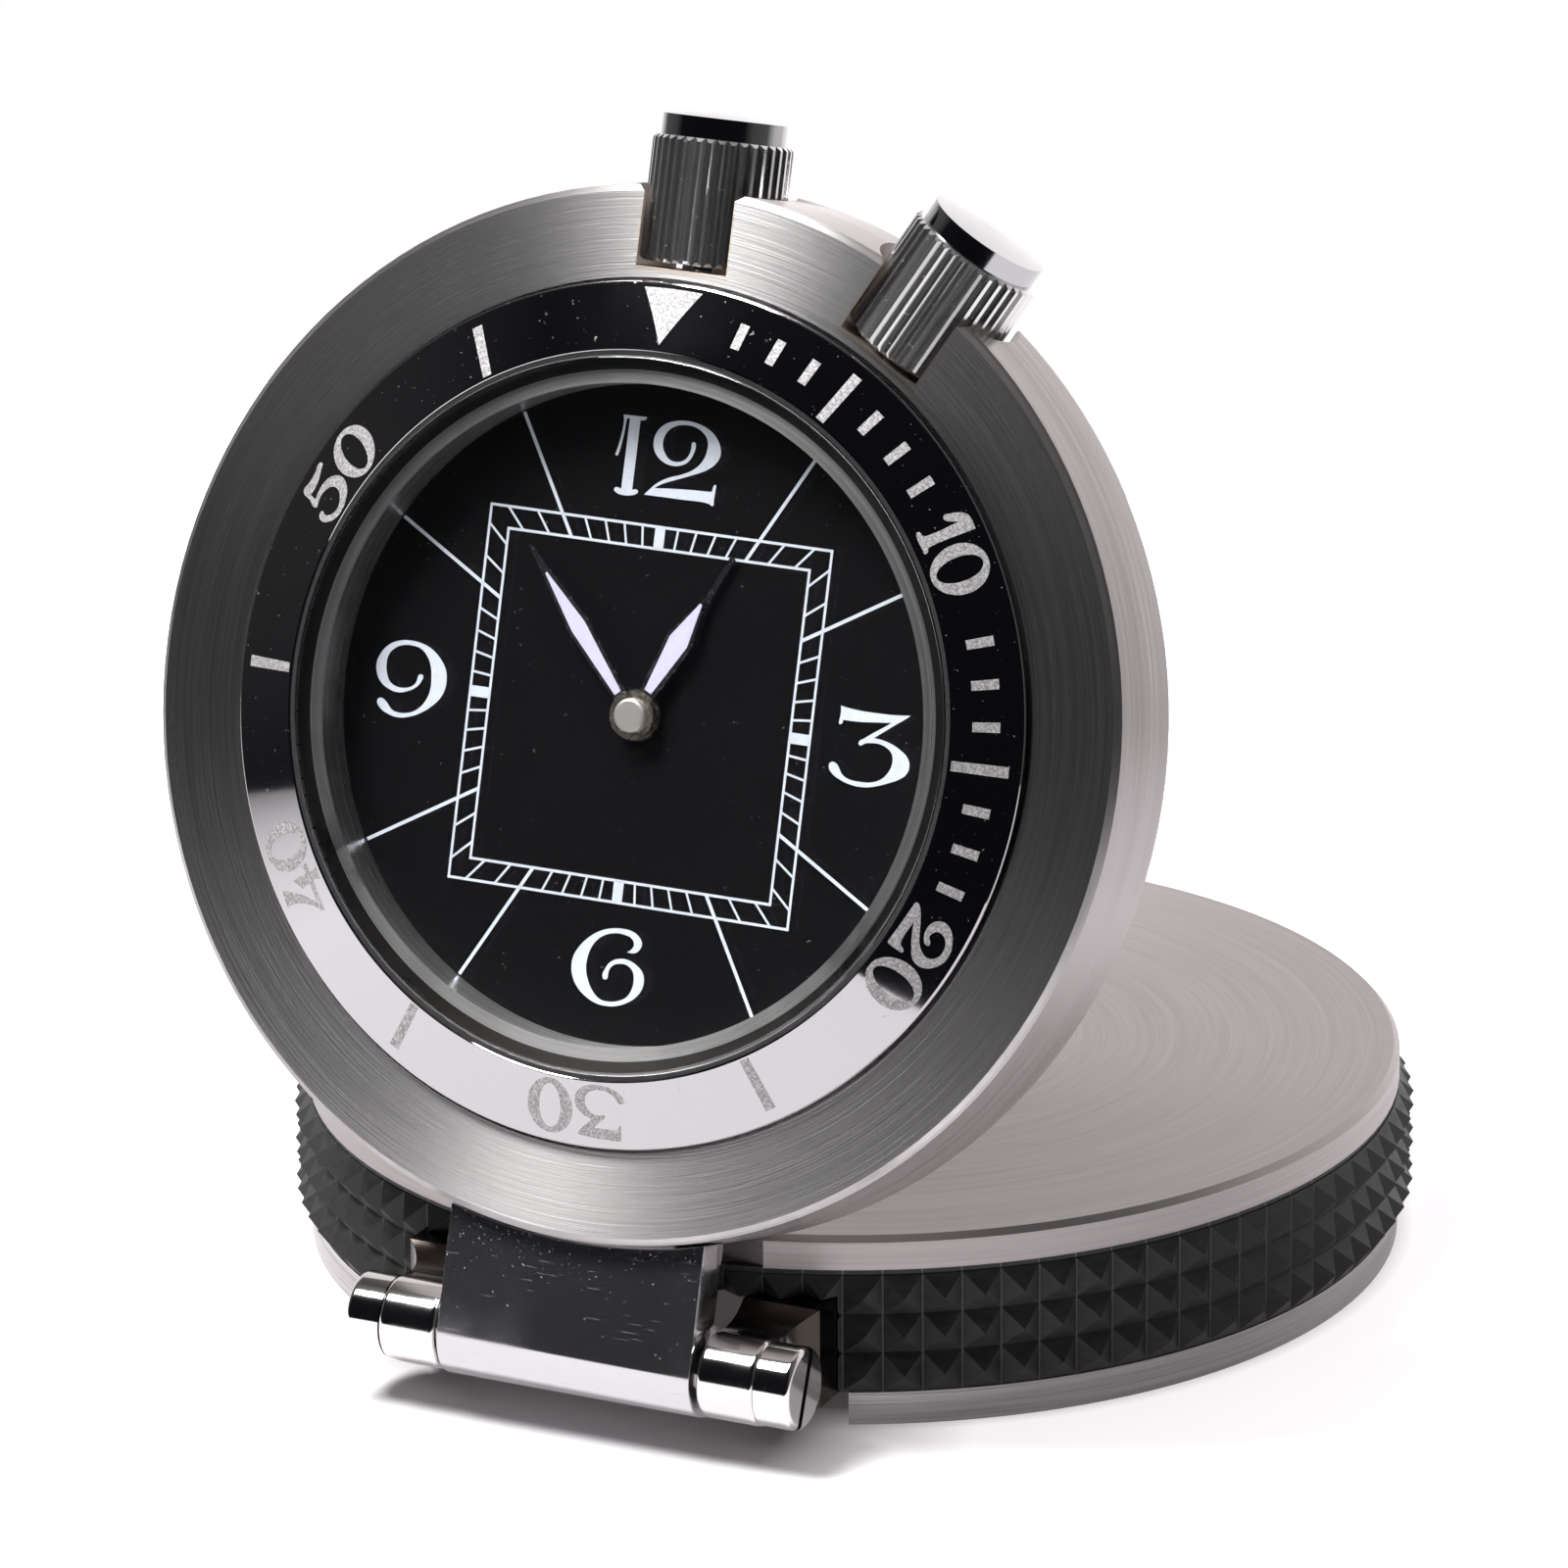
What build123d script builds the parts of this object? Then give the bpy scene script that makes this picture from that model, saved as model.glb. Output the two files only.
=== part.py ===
from build123d import *
import os
from math import asin, cos, degrees, radians, sin, sqrt, tan

# A folding travel alarm clock. Its round head leans back on a shallow cup, which is the cover. The
# head turns on a hinge at the front and folds into the cup's hollow underside, dial inward.
# Millimetres, +Z up, the table plane at zero, +X along the hinge, +Y away from the viewer.
# The origin is the middle of the footprint, on the table.
# Head pieces are drawn flat: twelve o'clock along +Y, the dial toward +Z, and zero height at the
# mid-plane of the case, which holds the hinge axis and both crown axes.

# Fits and helpers
running_clearance = 0.05
side_clearance = 0.3
swing_clearance = 0.15
assembly_clearance = 0.1
overrun = 20.0
full_turn = 360.0

# Glass, bezel ring and dial, from the middle outward
glass_radius = 20.15
glass_thickness = 1.2
glass_chamfer = 0.15
glass_seat_rise = 1.9
gasket_thickness = 0.25
gasket_height = 1.0
bezel_inner_thickness = 1.1
bezel_edge_thickness = 1.6
bezel_seat_width = 1.2
bezel_flange_width = 2.75
bezel_floor_depth = 0.5
flange_overlap = 1.55
dial_depth = 2.65
dial_thickness = 0.4
dial_hole_radius = 1.2

# Case
case_half_height = 3.05
case_chamfer = 0.38
case_back_rounding = 0.2
groove_width = 0.2
groove_rise = 0.05
front_width = 5.45
front_rise = 0.63
front_taper = 0.25
back_flange_width = 2.7
back_flange_thickness = 0.8
back_boss_overlap = 0.3
back_boss_depth = 0.4

# Inside the case
movement_radius = 12.8
movement_height = 3.3
works_recess_depth = 1.2
battery_height = 2.05
battery_arbor_gap = 2.45
battery_wall = 0.85
battery_angle = 210.0
buzzer_inset = 0.8
buzzer_thickness = 0.25
back_gasket_inset = 0.3
back_gasket_width = 0.4
back_gasket_height = 0.3
back_screw_count = 6
back_screw_first_angle = 15.0
back_screw_inset = 1.15
back_screw_radius = 0.45
back_screw_head_radius = 0.8
back_screw_head_height = 0.45
back_screw_length = 2.4
back_slot_width = 0.25
back_slot_depth = 0.25

# Cover
crown_headroom = 2.665
cavity_clearance = 0.6
wall_thickness = 1.2
plate_rim_height = 2.0
plate_thickness = 0.79
plate_chamfer = 0.35
lip_width = 0.9
lip_depth = 0.4
bottom_rim_height = 1.96
rim_gap_margin = 0.5
stop_half_width = 9.0

# Studded band
stud_rows = 3
studs_around = 90
stud_height = 0.9
band_thickness = 0.7
band_core_thickness = 0.61
band_top_margin = 0.34
band_bottom_margin = 0.09

# Hinge
lean_angle = 16.65
closing_start_angle = 15.0
closing_angle = 75.0
hinge_stand_off = 6.25
axis_height = 4.8
barrel_radius = 2.6
leaf_half_width = 7.95
knuckle_radius = 2.5
knuckle_length = 3.6
knuckle_rounding = 0.35
lug_flare = 1.15
lug_front_reach = 4.0
lug_top_rise = 3.1
lug_valley_reach = 2.6
lug_valley_rise = 2.3
lug_root_reach = 1.1
lug_waist_reach = 2.9
lug_waist_bulge = 0.2
pin_radius = 1.2
screw_head_step = 0.1
screw_head_length = 2.15
screw_shank_radius = 0.7
screw_shank_length = 2.4
slot_width = 0.5
slot_depth = 0.7
slot_angle = 22.0
lug_screw_radius = 0.6
lug_screw_head_radius = 1.1
lug_screw_head_length = 0.9
lug_screw_seat_depth = 0.6
lug_screw_length = 2.6
leaf_screw_spacing = 8.0
leaf_screw_head_radius = 1.05
leaf_screw_head_length = 1.0
leaf_screw_wall = 4.5
leaf_screw_reach = 3.0
tongue_inset = 1.95
tongue_thickness = 1.8
tongue_depth = 2.2

# Crowns
time_crown_angle = 0.0
alarm_crown_angle = 30.0
crown_radius = 3.975
crown_length = 7.1
crown_gap = 0.35
crown_edge = 0.2
crown_notch_clearance = 0.225
flute_count = 38
flute_depth = 0.24
flute_land_share = 0.3
recess_clearance = 0.65
recess_depth = 4.95
cap_step = 0.425
cap_length = 1.2
cap_dome = 0.3
cap_edge = 0.35
tube_radius = 1.5
tube_inset = 0.15
tube_stand_out = 2.55
tube_well_depth = 2.7
stem_radius = 0.55
stem_bore_clearance = 0.07
stem_depth = 1.4
stem_margin = 1.9

# Hands
minute_hand_angle = -40.8
hour_hand_angle = 26.6
alarm_hand_angle = 26.9
arbor_radius = 0.4
arbor_depth = 2.3
pipe_wall = 0.3
wheel_thickness = 0.2
arbor_wheel_radius = 2.4
arbor_wheel_depth = 1.1
hour_wheel_radius = 3.0
hour_wheel_depth = 0.8
alarm_wheel_radius = 3.3
alarm_wheel_depth = 0.5
works_clearance = 0.2
alarm_hand_rise = 0.25
alarm_hand_thickness = 0.12
hour_hand_rise = 0.53
minute_hand_rise = 0.82
hand_thickness = 0.15
hand_cap_radius = 0.97
hand_cap_height = 0.38
hand_hub_radius = 1.35
alarm_hub_radius = 1.5
minute_hand_length = 11.5
minute_hand_waist = 6.1
minute_hand_half_width = 0.7
hour_hand_length = 7.8
hour_hand_waist = 5.1
hour_hand_half_width = 0.85
hand_root_half_width = 0.35
hand_tip_half_width = 0.05
alarm_hand_length = 10.65
alarm_hand_half_width = 0.17

# Radii that follow, from the glass outward
bezel_inner_radius = glass_radius + gasket_thickness
bore_radius = bezel_inner_radius + bezel_seat_width
bezel_radius = bore_radius + bezel_flange_width
front_edge_radius = bezel_radius + groove_width
case_radius = front_edge_radius + front_width
cavity_radius = case_radius + cavity_clearance
wall_radius = cavity_radius + wall_thickness
stud_valley_radius = wall_radius + band_thickness
stud_peak_radius = stud_valley_radius + stud_height
plate_radius = stud_valley_radius
flange_inner_radius = glass_radius - flange_overlap
battery_radius = (movement_radius - battery_arbor_gap - battery_wall) / 2
battery_reach = battery_arbor_gap + battery_radius
buzzer_radius = movement_radius - buzzer_inset
holder_radius = bore_radius - assembly_clearance
holder_inner_radius = movement_radius + assembly_clearance
works_recess_radius = alarm_wheel_radius + works_clearance
back_recess_radius = bore_radius + back_flange_width
back_boss_radius = bore_radius + back_boss_overlap
back_gasket_inner = bore_radius + back_gasket_inset
back_screw_circle = back_recess_radius - back_screw_inset
recess_radius = crown_radius + recess_clearance
crown_notch_half_width = crown_radius + crown_notch_clearance
cap_radius = crown_radius - cap_step
screw_head_radius = knuckle_radius - screw_head_step
leaf_bore_radius = pin_radius + running_clearance
hour_pipe_bore = arbor_radius + running_clearance
hour_pipe_radius = hour_pipe_bore + pipe_wall
alarm_pipe_bore = hour_pipe_radius + running_clearance
alarm_pipe_radius = alarm_pipe_bore + pipe_wall

# Heights that follow, in the head from its mid-plane
case_top = case_half_height
back_face_height = -case_half_height
back_seat_height = back_face_height + back_flange_thickness
groove_height = case_top + groove_rise
front_height = case_top + front_rise
bezel_floor_height = case_top - bezel_floor_depth
bezel_outer_height = bezel_floor_height + bezel_edge_thickness
glass_seat_height = bezel_floor_height + glass_seat_rise
glass_top_height = glass_seat_height + glass_thickness
bezel_inner_height = glass_seat_height + bezel_inner_thickness
dial_height = glass_seat_height - dial_depth
dial_back_height = dial_height - dial_thickness
movement_low = dial_back_height - movement_height
alarm_hand_height = dial_height + alarm_hand_rise
hour_hand_height = dial_height + hour_hand_rise
minute_hand_height = dial_height + minute_hand_rise
cover_height = axis_height + crown_radius + crown_headroom
band_top = cover_height - plate_rim_height
band_bottom = bottom_rim_height
cavity_top = cover_height - plate_thickness
lug_top = axis_height + lug_top_rise

# Places along the crowns and the hinge that follow
recess_floor = case_radius - recess_depth
crown_inner_end = recess_floor + crown_gap
crown_shoulder = crown_inner_end + crown_length
cap_end = crown_shoulder + cap_length
tube_inner_end = bore_radius + tube_inset
tube_outer_end = recess_floor + tube_stand_out
stem_inner_end = movement_radius - stem_depth
stem_outer_end = crown_shoulder - stem_margin
leaf_screw_seat = case_radius - leaf_screw_wall
leaf_screw_end = case_radius + leaf_screw_reach
knuckle_inner = leaf_half_width + side_clearance
knuckle_outer = knuckle_inner + knuckle_length
lug_half_width = knuckle_outer + lug_flare
rim_gap_half_width = lug_half_width + rim_gap_margin
lug_screw_angle = degrees(asin((knuckle_inner + lug_half_width) / 2 / wall_radius))
hinge_reach = case_radius + hinge_stand_off
cover_center_y = (hinge_reach + barrel_radius - stud_peak_radius) / 2
hinge_y = cover_center_y - hinge_reach

# The stop, where the rear rim of the leaning head comes to rest in the cover's top plate
lean = radians(lean_angle)
stop_rise = cover_height - axis_height + case_half_height * sin(lean)
stop_reach = stop_rise * tan(lean) + case_half_height * cos(lean) + swing_clearance
stop_line = stop_reach - hinge_reach

# Placements
toward_twelve = Vector(0, sin(lean), cos(lean))
dial_normal = Vector(0, -cos(lean), sin(lean))
head_center = Vector(0, hinge_y, axis_height) + toward_twelve * hinge_reach
head_place = Plane(origin=head_center, x_dir=(1, 0, 0), z_dir=dial_normal).location
cover_place = Pos(0, cover_center_y, 0)


# Shapes used again and again
def disc(radius, low, high):
    return Pos(0, 0, low) * Cylinder(radius, high - low, align=(Align.CENTER, Align.CENTER, Align.MIN))


def ring(inner_radius, outer_radius, low, high):
    return disc(outer_radius, low, high) - disc(inner_radius, low - overrun, high + overrun)


def lathe(outline):
    return revolve(Plane.XZ * make_face(Polyline(*outline, close=True)), Axis.Z, full_turn)


def block(x_low, x_high, y_low, y_high, z_low, z_high):
    corner = (Align.MIN, Align.MIN, Align.MIN)
    return Pos(x_low, y_low, z_low) * Box(x_high - x_low, y_high - y_low, z_high - z_low, align=corner)


def rod_along_x(radius, start, end):
    return Rot(0, 90, 0) * disc(radius, start, end)


def toward_rim(clock_angle):
    """Turns a piece drawn along +Z so that it points from the head's middle to its rim."""
    return Rot(0, 0, -clock_angle) * Rot(-90, 0, 0)


def at_hinge(shape):
    return Pos(0, -hinge_reach, axis_height) * shape


# Cover pieces
def cover_plate():
    lip_inner = cavity_radius - lip_width
    outline = [
        (0, cavity_top),
        (lip_inner, cavity_top),
        (lip_inner, band_top - lip_depth),
        (cavity_radius, band_top - lip_depth),
        (cavity_radius, band_top),
        (plate_radius, band_top),
        (plate_radius, cover_height - plate_chamfer),
        (plate_radius - plate_chamfer, cover_height),
        (0, cover_height),
    ]
    stop = block(-stop_half_width, stop_half_width, stop_line - overrun, stop_line, 0, overrun)
    return lathe(outline) - stop


def crown_angles():
    return (time_crown_angle, alarm_crown_angle)


def crown_notches():
    """Arched cuts, open at the table, that the crowns enter when the clock is folded."""
    arch = make_face(
        Polyline(
            (-crown_notch_half_width, 0),
            (-crown_notch_half_width, -overrun),
            (crown_notch_half_width, -overrun),
            (crown_notch_half_width, 0),
        )
        + ThreePointArc(
            (crown_notch_half_width, 0), (0, crown_notch_half_width), (-crown_notch_half_width, 0)
        )
    )
    cut = extrude(Plane.XZ * arch, -hinge_reach)
    return [Rot(0, 0, -angle) * Pos(0, 0, axis_height) * cut for angle in crown_angles()]


def head_path():
    """The space that the head's round edge sweeps as it closes from below."""
    axis = Axis((0, -hinge_reach, axis_height), (1, 0, 0))
    edge = Pos(0, 0, axis_height) * Circle(case_radius + swing_clearance)
    return revolve(edge.rotate(axis, -closing_start_angle), axis, -closing_angle)


def lug_screw_place(side):
    """Places a piece drawn along +Z so that it points out through the wall and into a lug."""
    return Pos(0, 0, axis_height) * Rot(0, 0, side * lug_screw_angle) * Rot(90, 0, 0)


def lug_screw(side):
    seat = cavity_radius + lug_screw_seat_depth
    head_low = seat - lug_screw_head_length
    shank = disc(lug_screw_radius, head_low, wall_radius + lug_screw_length)
    cone = Cone(lug_screw_head_radius, lug_screw_radius, lug_screw_head_length)
    return lug_screw_place(side) * (shank + Pos(0, 0, (seat + head_low) / 2) * cone)


def cover_ring():
    wall = ring(cavity_radius, wall_radius, 0, band_top)
    rim = ring(cavity_radius, plate_radius, 0, bottom_rim_height)
    front = -cavity_radius / 2
    gap = rim_gap_half_width
    leaf_opening = block(-knuckle_inner, knuckle_inner, front - overrun, front, -overrun, lug_top)
    rim_gap = block(-gap, gap, front - overrun, front, -overrun, bottom_rim_height)
    body = wall + rim - leaf_opening - rim_gap - head_path()
    for notch in crown_notches():
        body -= notch
    for side in (-1, 1):
        body -= lug_screw(side)
    return body


def studded_band():
    low = band_bottom + band_bottom_margin
    row_height = (band_top - band_top_margin - low) / stud_rows
    step = full_turn / studs_around

    def at(radius, column, height):
        angle = radians(step * column)
        return (radius * sin(angle), -radius * cos(angle), height)

    faces = []
    for column in range(studs_around):
        for row in range(stud_rows):
            bottom = low + row * row_height
            corners = [
                at(stud_valley_radius, column, bottom),
                at(stud_valley_radius, column + 1, bottom),
                at(stud_valley_radius, column + 1, bottom + row_height),
                at(stud_valley_radius, column, bottom + row_height),
            ]
            peak = at(stud_peak_radius, column + 1 / 2, bottom + row_height / 2)
            for first, second in zip(corners, corners[1:] + corners[:1]):
                faces.append(make_face(Polyline(first, second, peak, close=True)).face())
    top = low + stud_rows * row_height
    for height in (low, top):
        outline = [at(stud_valley_radius, column, height) for column in range(studs_around)]
        faces.append(make_face(Polyline(*outline, close=True)).face())
    studs = Solid(Shell(faces))
    body = studs + disc(wall_radius + band_core_thickness, band_bottom, band_top)
    body -= disc(wall_radius, 0, overrun)
    reach = lug_half_width + running_clearance
    body -= block(-reach, reach, -hinge_reach, -cavity_radius / 2, 0, lug_top + running_clearance)
    for notch in crown_notches():
        body -= notch
    return body


def hinge_lug(side):
    """One lug: a knuckle on the hinge axis that flares back to the wall of the cover."""
    back = hinge_reach - cavity_radius / 2
    below = bottom_rim_height - axis_height
    valley_start = sqrt(knuckle_radius**2 - lug_root_reach**2)
    side_outline = (
        Polyline((0, 0), (0, -knuckle_radius), (lug_front_reach, below), (back, below))
        + Polyline((back, below), (back, lug_top_rise), (lug_front_reach, lug_top_rise))
        + ThreePointArc(
            (lug_front_reach, lug_top_rise),
            (lug_valley_reach, lug_valley_rise),
            (lug_root_reach, valley_start),
        )
        + Line((lug_root_reach, valley_start), (0, 0))
    )
    web = extrude(Plane.YZ * make_face(side_outline), overrun)
    plan_outline = (
        Polyline(
            (lug_half_width, lug_front_reach),
            (lug_half_width, back),
            (knuckle_inner, back),
            (knuckle_inner, 0),
            (knuckle_outer, 0),
            (knuckle_outer, lug_root_reach),
        )
        + ThreePointArc(
            (knuckle_outer, lug_root_reach),
            (knuckle_outer + lug_waist_bulge, lug_waist_reach),
            (lug_half_width, lug_front_reach),
        )
    )
    flare = extrude(Pos(0, 0, -overrun) * make_face(plan_outline), 2 * overrun)
    knuckle = rod_along_x(knuckle_radius, knuckle_inner, knuckle_outer)
    knuckle = fillet(knuckle.edges().filter_by(GeomType.CIRCLE), knuckle_rounding)
    bore = rod_along_x(pin_radius, -overrun, overrun)
    lug = at_hinge((web & flare) + knuckle - bore)
    lug -= disc(wall_radius, -overrun, overrun)
    if side < 0:
        lug = lug.mirror(Plane.YZ)
    return lug - lug_screw(side)


def lug_screws():
    cavity = disc(cavity_radius, 0, overrun)
    return [lug_screw(side) - cavity for side in (-1, 1)]


def hinge_pin():
    pin = rod_along_x(pin_radius, -knuckle_outer, knuckle_outer)
    for end in (-1, 1):
        start = knuckle_outer - screw_shank_length
        pin -= Rot(0, 0, 90 * (1 - end)) * rod_along_x(screw_shank_radius, start, knuckle_outer)
    return at_hinge(pin)


def hinge_screws():
    head_end = knuckle_outer + screw_head_length
    head = rod_along_x(screw_head_radius, knuckle_outer, head_end)
    head = fillet(head.edges().filter_by(GeomType.CIRCLE).sort_by(Axis.X)[-1:], knuckle_rounding)
    half = slot_width / 2
    slot = block(head_end - slot_depth, head_end + slot_depth, -half, half, -overrun, overrun)
    shank = rod_along_x(screw_shank_radius, knuckle_outer - screw_shank_length, knuckle_outer)
    screw = head - Rot(-slot_angle, 0, 0) * slot + shank
    return [at_hinge(screw), at_hinge(screw.mirror(Plane.YZ))]


# Head pieces
def crown_recess(clock_angle):
    return toward_rim(clock_angle) * disc(recess_radius, recess_floor, recess_floor + overrun)


def tube_hole(clock_angle):
    return toward_rim(clock_angle) * disc(tube_radius, 0, case_radius)


def leaf_screw_places():
    """Where the screws run from inside the case through its wall into the leaf, drawn along +Z."""
    xs = (-leaf_screw_spacing / 2, leaf_screw_spacing / 2)
    return [Pos(x, 0, barrel_radius / 2) * Rot(90, 0, 0) for x in xs]


def leaf_screw():
    shank = disc(screw_shank_radius, leaf_screw_seat, leaf_screw_end)
    return shank + disc(leaf_screw_head_radius, leaf_screw_seat - leaf_screw_head_length, leaf_screw_seat)


def back_screw_angles():
    step = full_turn / back_screw_count
    return [back_screw_first_angle + step * index for index in range(back_screw_count)]


def back_screw():
    head_low = back_face_height
    head_high = head_low + back_screw_head_height
    head = disc(back_screw_head_radius, head_low, head_high)
    half = back_slot_width / 2
    slot = block(-overrun, overrun, -half, half, head_low - overrun, head_low + back_slot_depth)
    shank = disc(back_screw_radius, head_high, head_low + back_screw_length)
    return Pos(0, back_screw_circle, 0) * (head - slot + shank)


def back_screw_hole():
    head_high = back_face_height + back_screw_head_height
    head = disc(back_screw_head_radius, back_face_height - overrun, head_high)
    shank = disc(back_screw_radius, head_high, back_face_height + back_screw_length)
    return Pos(0, back_screw_circle, 0) * (head + shank)


def tongue():
    half = leaf_half_width - tongue_inset
    low = (barrel_radius - tongue_thickness) / 2
    high = low + tongue_thickness
    return block(-half, half, barrel_radius - hinge_reach, tongue_depth - case_radius, low, high)


def case():
    front_radius = case_radius - front_taper
    outline = [
        (case_radius - case_back_rounding, back_face_height),
        (case_radius, back_face_height + case_back_rounding),
        (case_radius, 0),
        (front_radius, front_height - case_chamfer),
        (front_radius - case_chamfer, front_height),
        (front_edge_radius, front_height),
        (front_edge_radius, groove_height),
        (bezel_radius, groove_height),
        (bezel_radius, bezel_floor_height),
        (bore_radius, bezel_floor_height),
        (bore_radius, back_seat_height),
        (back_recess_radius, back_seat_height),
        (back_recess_radius, back_face_height),
    ]
    body = lathe(outline)
    for angle in crown_angles():
        body -= crown_recess(angle)
        body -= tube_hole(angle)
    body -= tongue()
    for place in leaf_screw_places():
        body -= place * leaf_screw()
        body -= place * disc(leaf_screw_head_radius, 0, leaf_screw_seat)
    for angle in back_screw_angles():
        body -= Rot(0, 0, -angle) * back_screw_hole()
    return body - back_gasket()


def back_gasket():
    outer = back_gasket_inner + back_gasket_width
    return ring(back_gasket_inner, outer, back_seat_height, back_seat_height + back_gasket_height)


def case_back():
    edge = back_recess_radius - assembly_clearance
    boss_low = back_face_height - back_boss_depth
    outline = [
        (0, boss_low),
        (back_boss_radius - back_boss_depth, boss_low),
        (back_boss_radius, back_face_height),
        (edge, back_face_height),
        (edge, back_seat_height),
        (0, back_seat_height),
    ]
    body = lathe(outline)
    for angle in back_screw_angles():
        body -= Rot(0, 0, -angle) * back_screw_hole()
    return body


def case_back_screws():
    return [Rot(0, 0, -angle) * back_screw() for angle in back_screw_angles()]


def bezel_ring():
    outline = [
        (bore_radius, bezel_floor_height),
        (bezel_radius, bezel_floor_height),
        (bezel_radius, bezel_outer_height),
        (bezel_inner_radius, bezel_inner_height),
        (bezel_inner_radius, glass_seat_height),
        (bore_radius, glass_seat_height),
    ]
    return lathe(outline)


def crystal():
    outline = [
        (0, glass_seat_height),
        (glass_radius, glass_seat_height),
        (glass_radius, glass_top_height - glass_chamfer),
        (glass_radius - glass_chamfer, glass_top_height),
        (0, glass_top_height),
    ]
    return lathe(outline)


def crystal_gasket():
    return ring(glass_radius, bezel_inner_radius, glass_seat_height, glass_seat_height + gasket_height)


def flange_ring():
    return ring(flange_inner_radius, holder_radius, dial_height, glass_seat_height)


def dial():
    return ring(dial_hole_radius, holder_radius, dial_back_height, dial_height)


def stem_path(clock_angle, radius):
    return toward_rim(clock_angle) * disc(radius, stem_inner_end - assembly_clearance, recess_floor)


def movement_holder():
    body = ring(holder_inner_radius, holder_radius, back_seat_height, dial_back_height)
    for angle in crown_angles():
        body -= stem_path(angle, stem_radius + assembly_clearance)
    return body


def battery_place():
    return Rot(0, 0, -battery_angle) * Pos(0, battery_reach, 0)


def movement():
    foot = dial_back_height - arbor_depth
    body = disc(movement_radius, movement_low, dial_back_height)
    body -= disc(works_recess_radius, dial_back_height - works_recess_depth, dial_back_height + overrun)
    body -= disc(arbor_radius + running_clearance, foot - running_clearance, dial_back_height)
    body -= battery_place() * disc(battery_radius, movement_low - overrun, movement_low + battery_height)
    for angle in crown_angles():
        body -= stem_path(angle, stem_radius + assembly_clearance)
    return body


def battery():
    return battery_place() * disc(battery_radius, movement_low, movement_low + battery_height)


def buzzer_disc():
    return disc(buzzer_radius, back_seat_height, back_seat_height + buzzer_thickness)


def crown_tubes():
    tube = ring(stem_radius + stem_bore_clearance, tube_radius, tube_inner_end, tube_outer_end)
    return [toward_rim(angle) * tube for angle in crown_angles()]


def hinge_leaf():
    plate = block(-leaf_half_width, leaf_half_width, -hinge_reach, -case_radius / 2, 0, barrel_radius)
    plate -= disc(case_radius, -overrun, overrun)
    barrel = rod_along_x(barrel_radius, -leaf_half_width, leaf_half_width)
    bore = rod_along_x(leaf_bore_radius, -overrun, overrun)
    leaf = plate + Pos(0, -hinge_reach, 0) * barrel + tongue() - Pos(0, -hinge_reach, 0) * bore
    for place in leaf_screw_places():
        leaf -= place * leaf_screw()
    return leaf


def leaf_screws():
    return [place * leaf_screw() for place in leaf_screw_places()]


# Hands and the arbors that carry them
def wheel(radius, depth):
    """A toothless stand-in for a gear, as deep under the dial as stated."""
    height = dial_back_height - depth
    return disc(radius, height, height + wheel_thickness)


def lance(length, waist, half_width):
    """A pointed blade along +Y, widest at its waist."""
    outline = [
        (-hand_root_half_width, 0),
        (hand_root_half_width, 0),
        (half_width, waist),
        (hand_tip_half_width, length),
        (-hand_tip_half_width, length),
        (-half_width, waist),
    ]
    return make_face(Polyline(*outline, close=True))


def hand(blade, hub_radius, hole_radius, height, thickness, angle):
    body = extrude(Pos(0, 0, height) * blade, thickness) + disc(hub_radius, height, height + thickness)
    body -= disc(hole_radius, height - overrun, height + overrun)
    return Rot(0, 0, -angle) * body


def minute_hand():
    blade = lance(minute_hand_length, minute_hand_waist, minute_hand_half_width)
    return hand(blade, hand_hub_radius, arbor_radius, minute_hand_height, hand_thickness, minute_hand_angle)


def minute_arbor():
    rod = disc(arbor_radius, dial_back_height - arbor_depth, minute_hand_height + hand_thickness)
    return rod + wheel(arbor_wheel_radius, arbor_wheel_depth)


def hand_cap():
    low = minute_hand_height + hand_thickness
    cap = disc(hand_cap_radius, low, low + hand_cap_height)
    return fillet(cap.edges().sort_by(Axis.Z)[-1:], hand_cap_height / 2)


def hour_hand():
    blade = lance(hour_hand_length, hour_hand_waist, hour_hand_half_width)
    return hand(blade, hand_hub_radius, hour_pipe_radius, hour_hand_height, hand_thickness, hour_hand_angle)


def hour_wheel():
    pipe = disc(hour_pipe_radius, dial_back_height - hour_wheel_depth, hour_hand_height + hand_thickness)
    return pipe + wheel(hour_wheel_radius, hour_wheel_depth) - disc(hour_pipe_bore, -overrun, overrun)


def alarm_hand():
    half = alarm_hand_half_width
    outline = [(-half, 0), (half, 0), (half, alarm_hand_length), (-half, alarm_hand_length)]
    blade = make_face(Polyline(*outline, close=True))
    height, thickness = alarm_hand_height, alarm_hand_thickness
    return hand(blade, alarm_hub_radius, alarm_pipe_radius, height, thickness, alarm_hand_angle)


def alarm_wheel():
    pipe_top = alarm_hand_height + alarm_hand_thickness
    pipe = disc(alarm_pipe_radius, dial_back_height - alarm_wheel_depth, pipe_top)
    return pipe + wheel(alarm_wheel_radius, alarm_wheel_depth) - disc(alarm_pipe_bore, -overrun, overrun)


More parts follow.
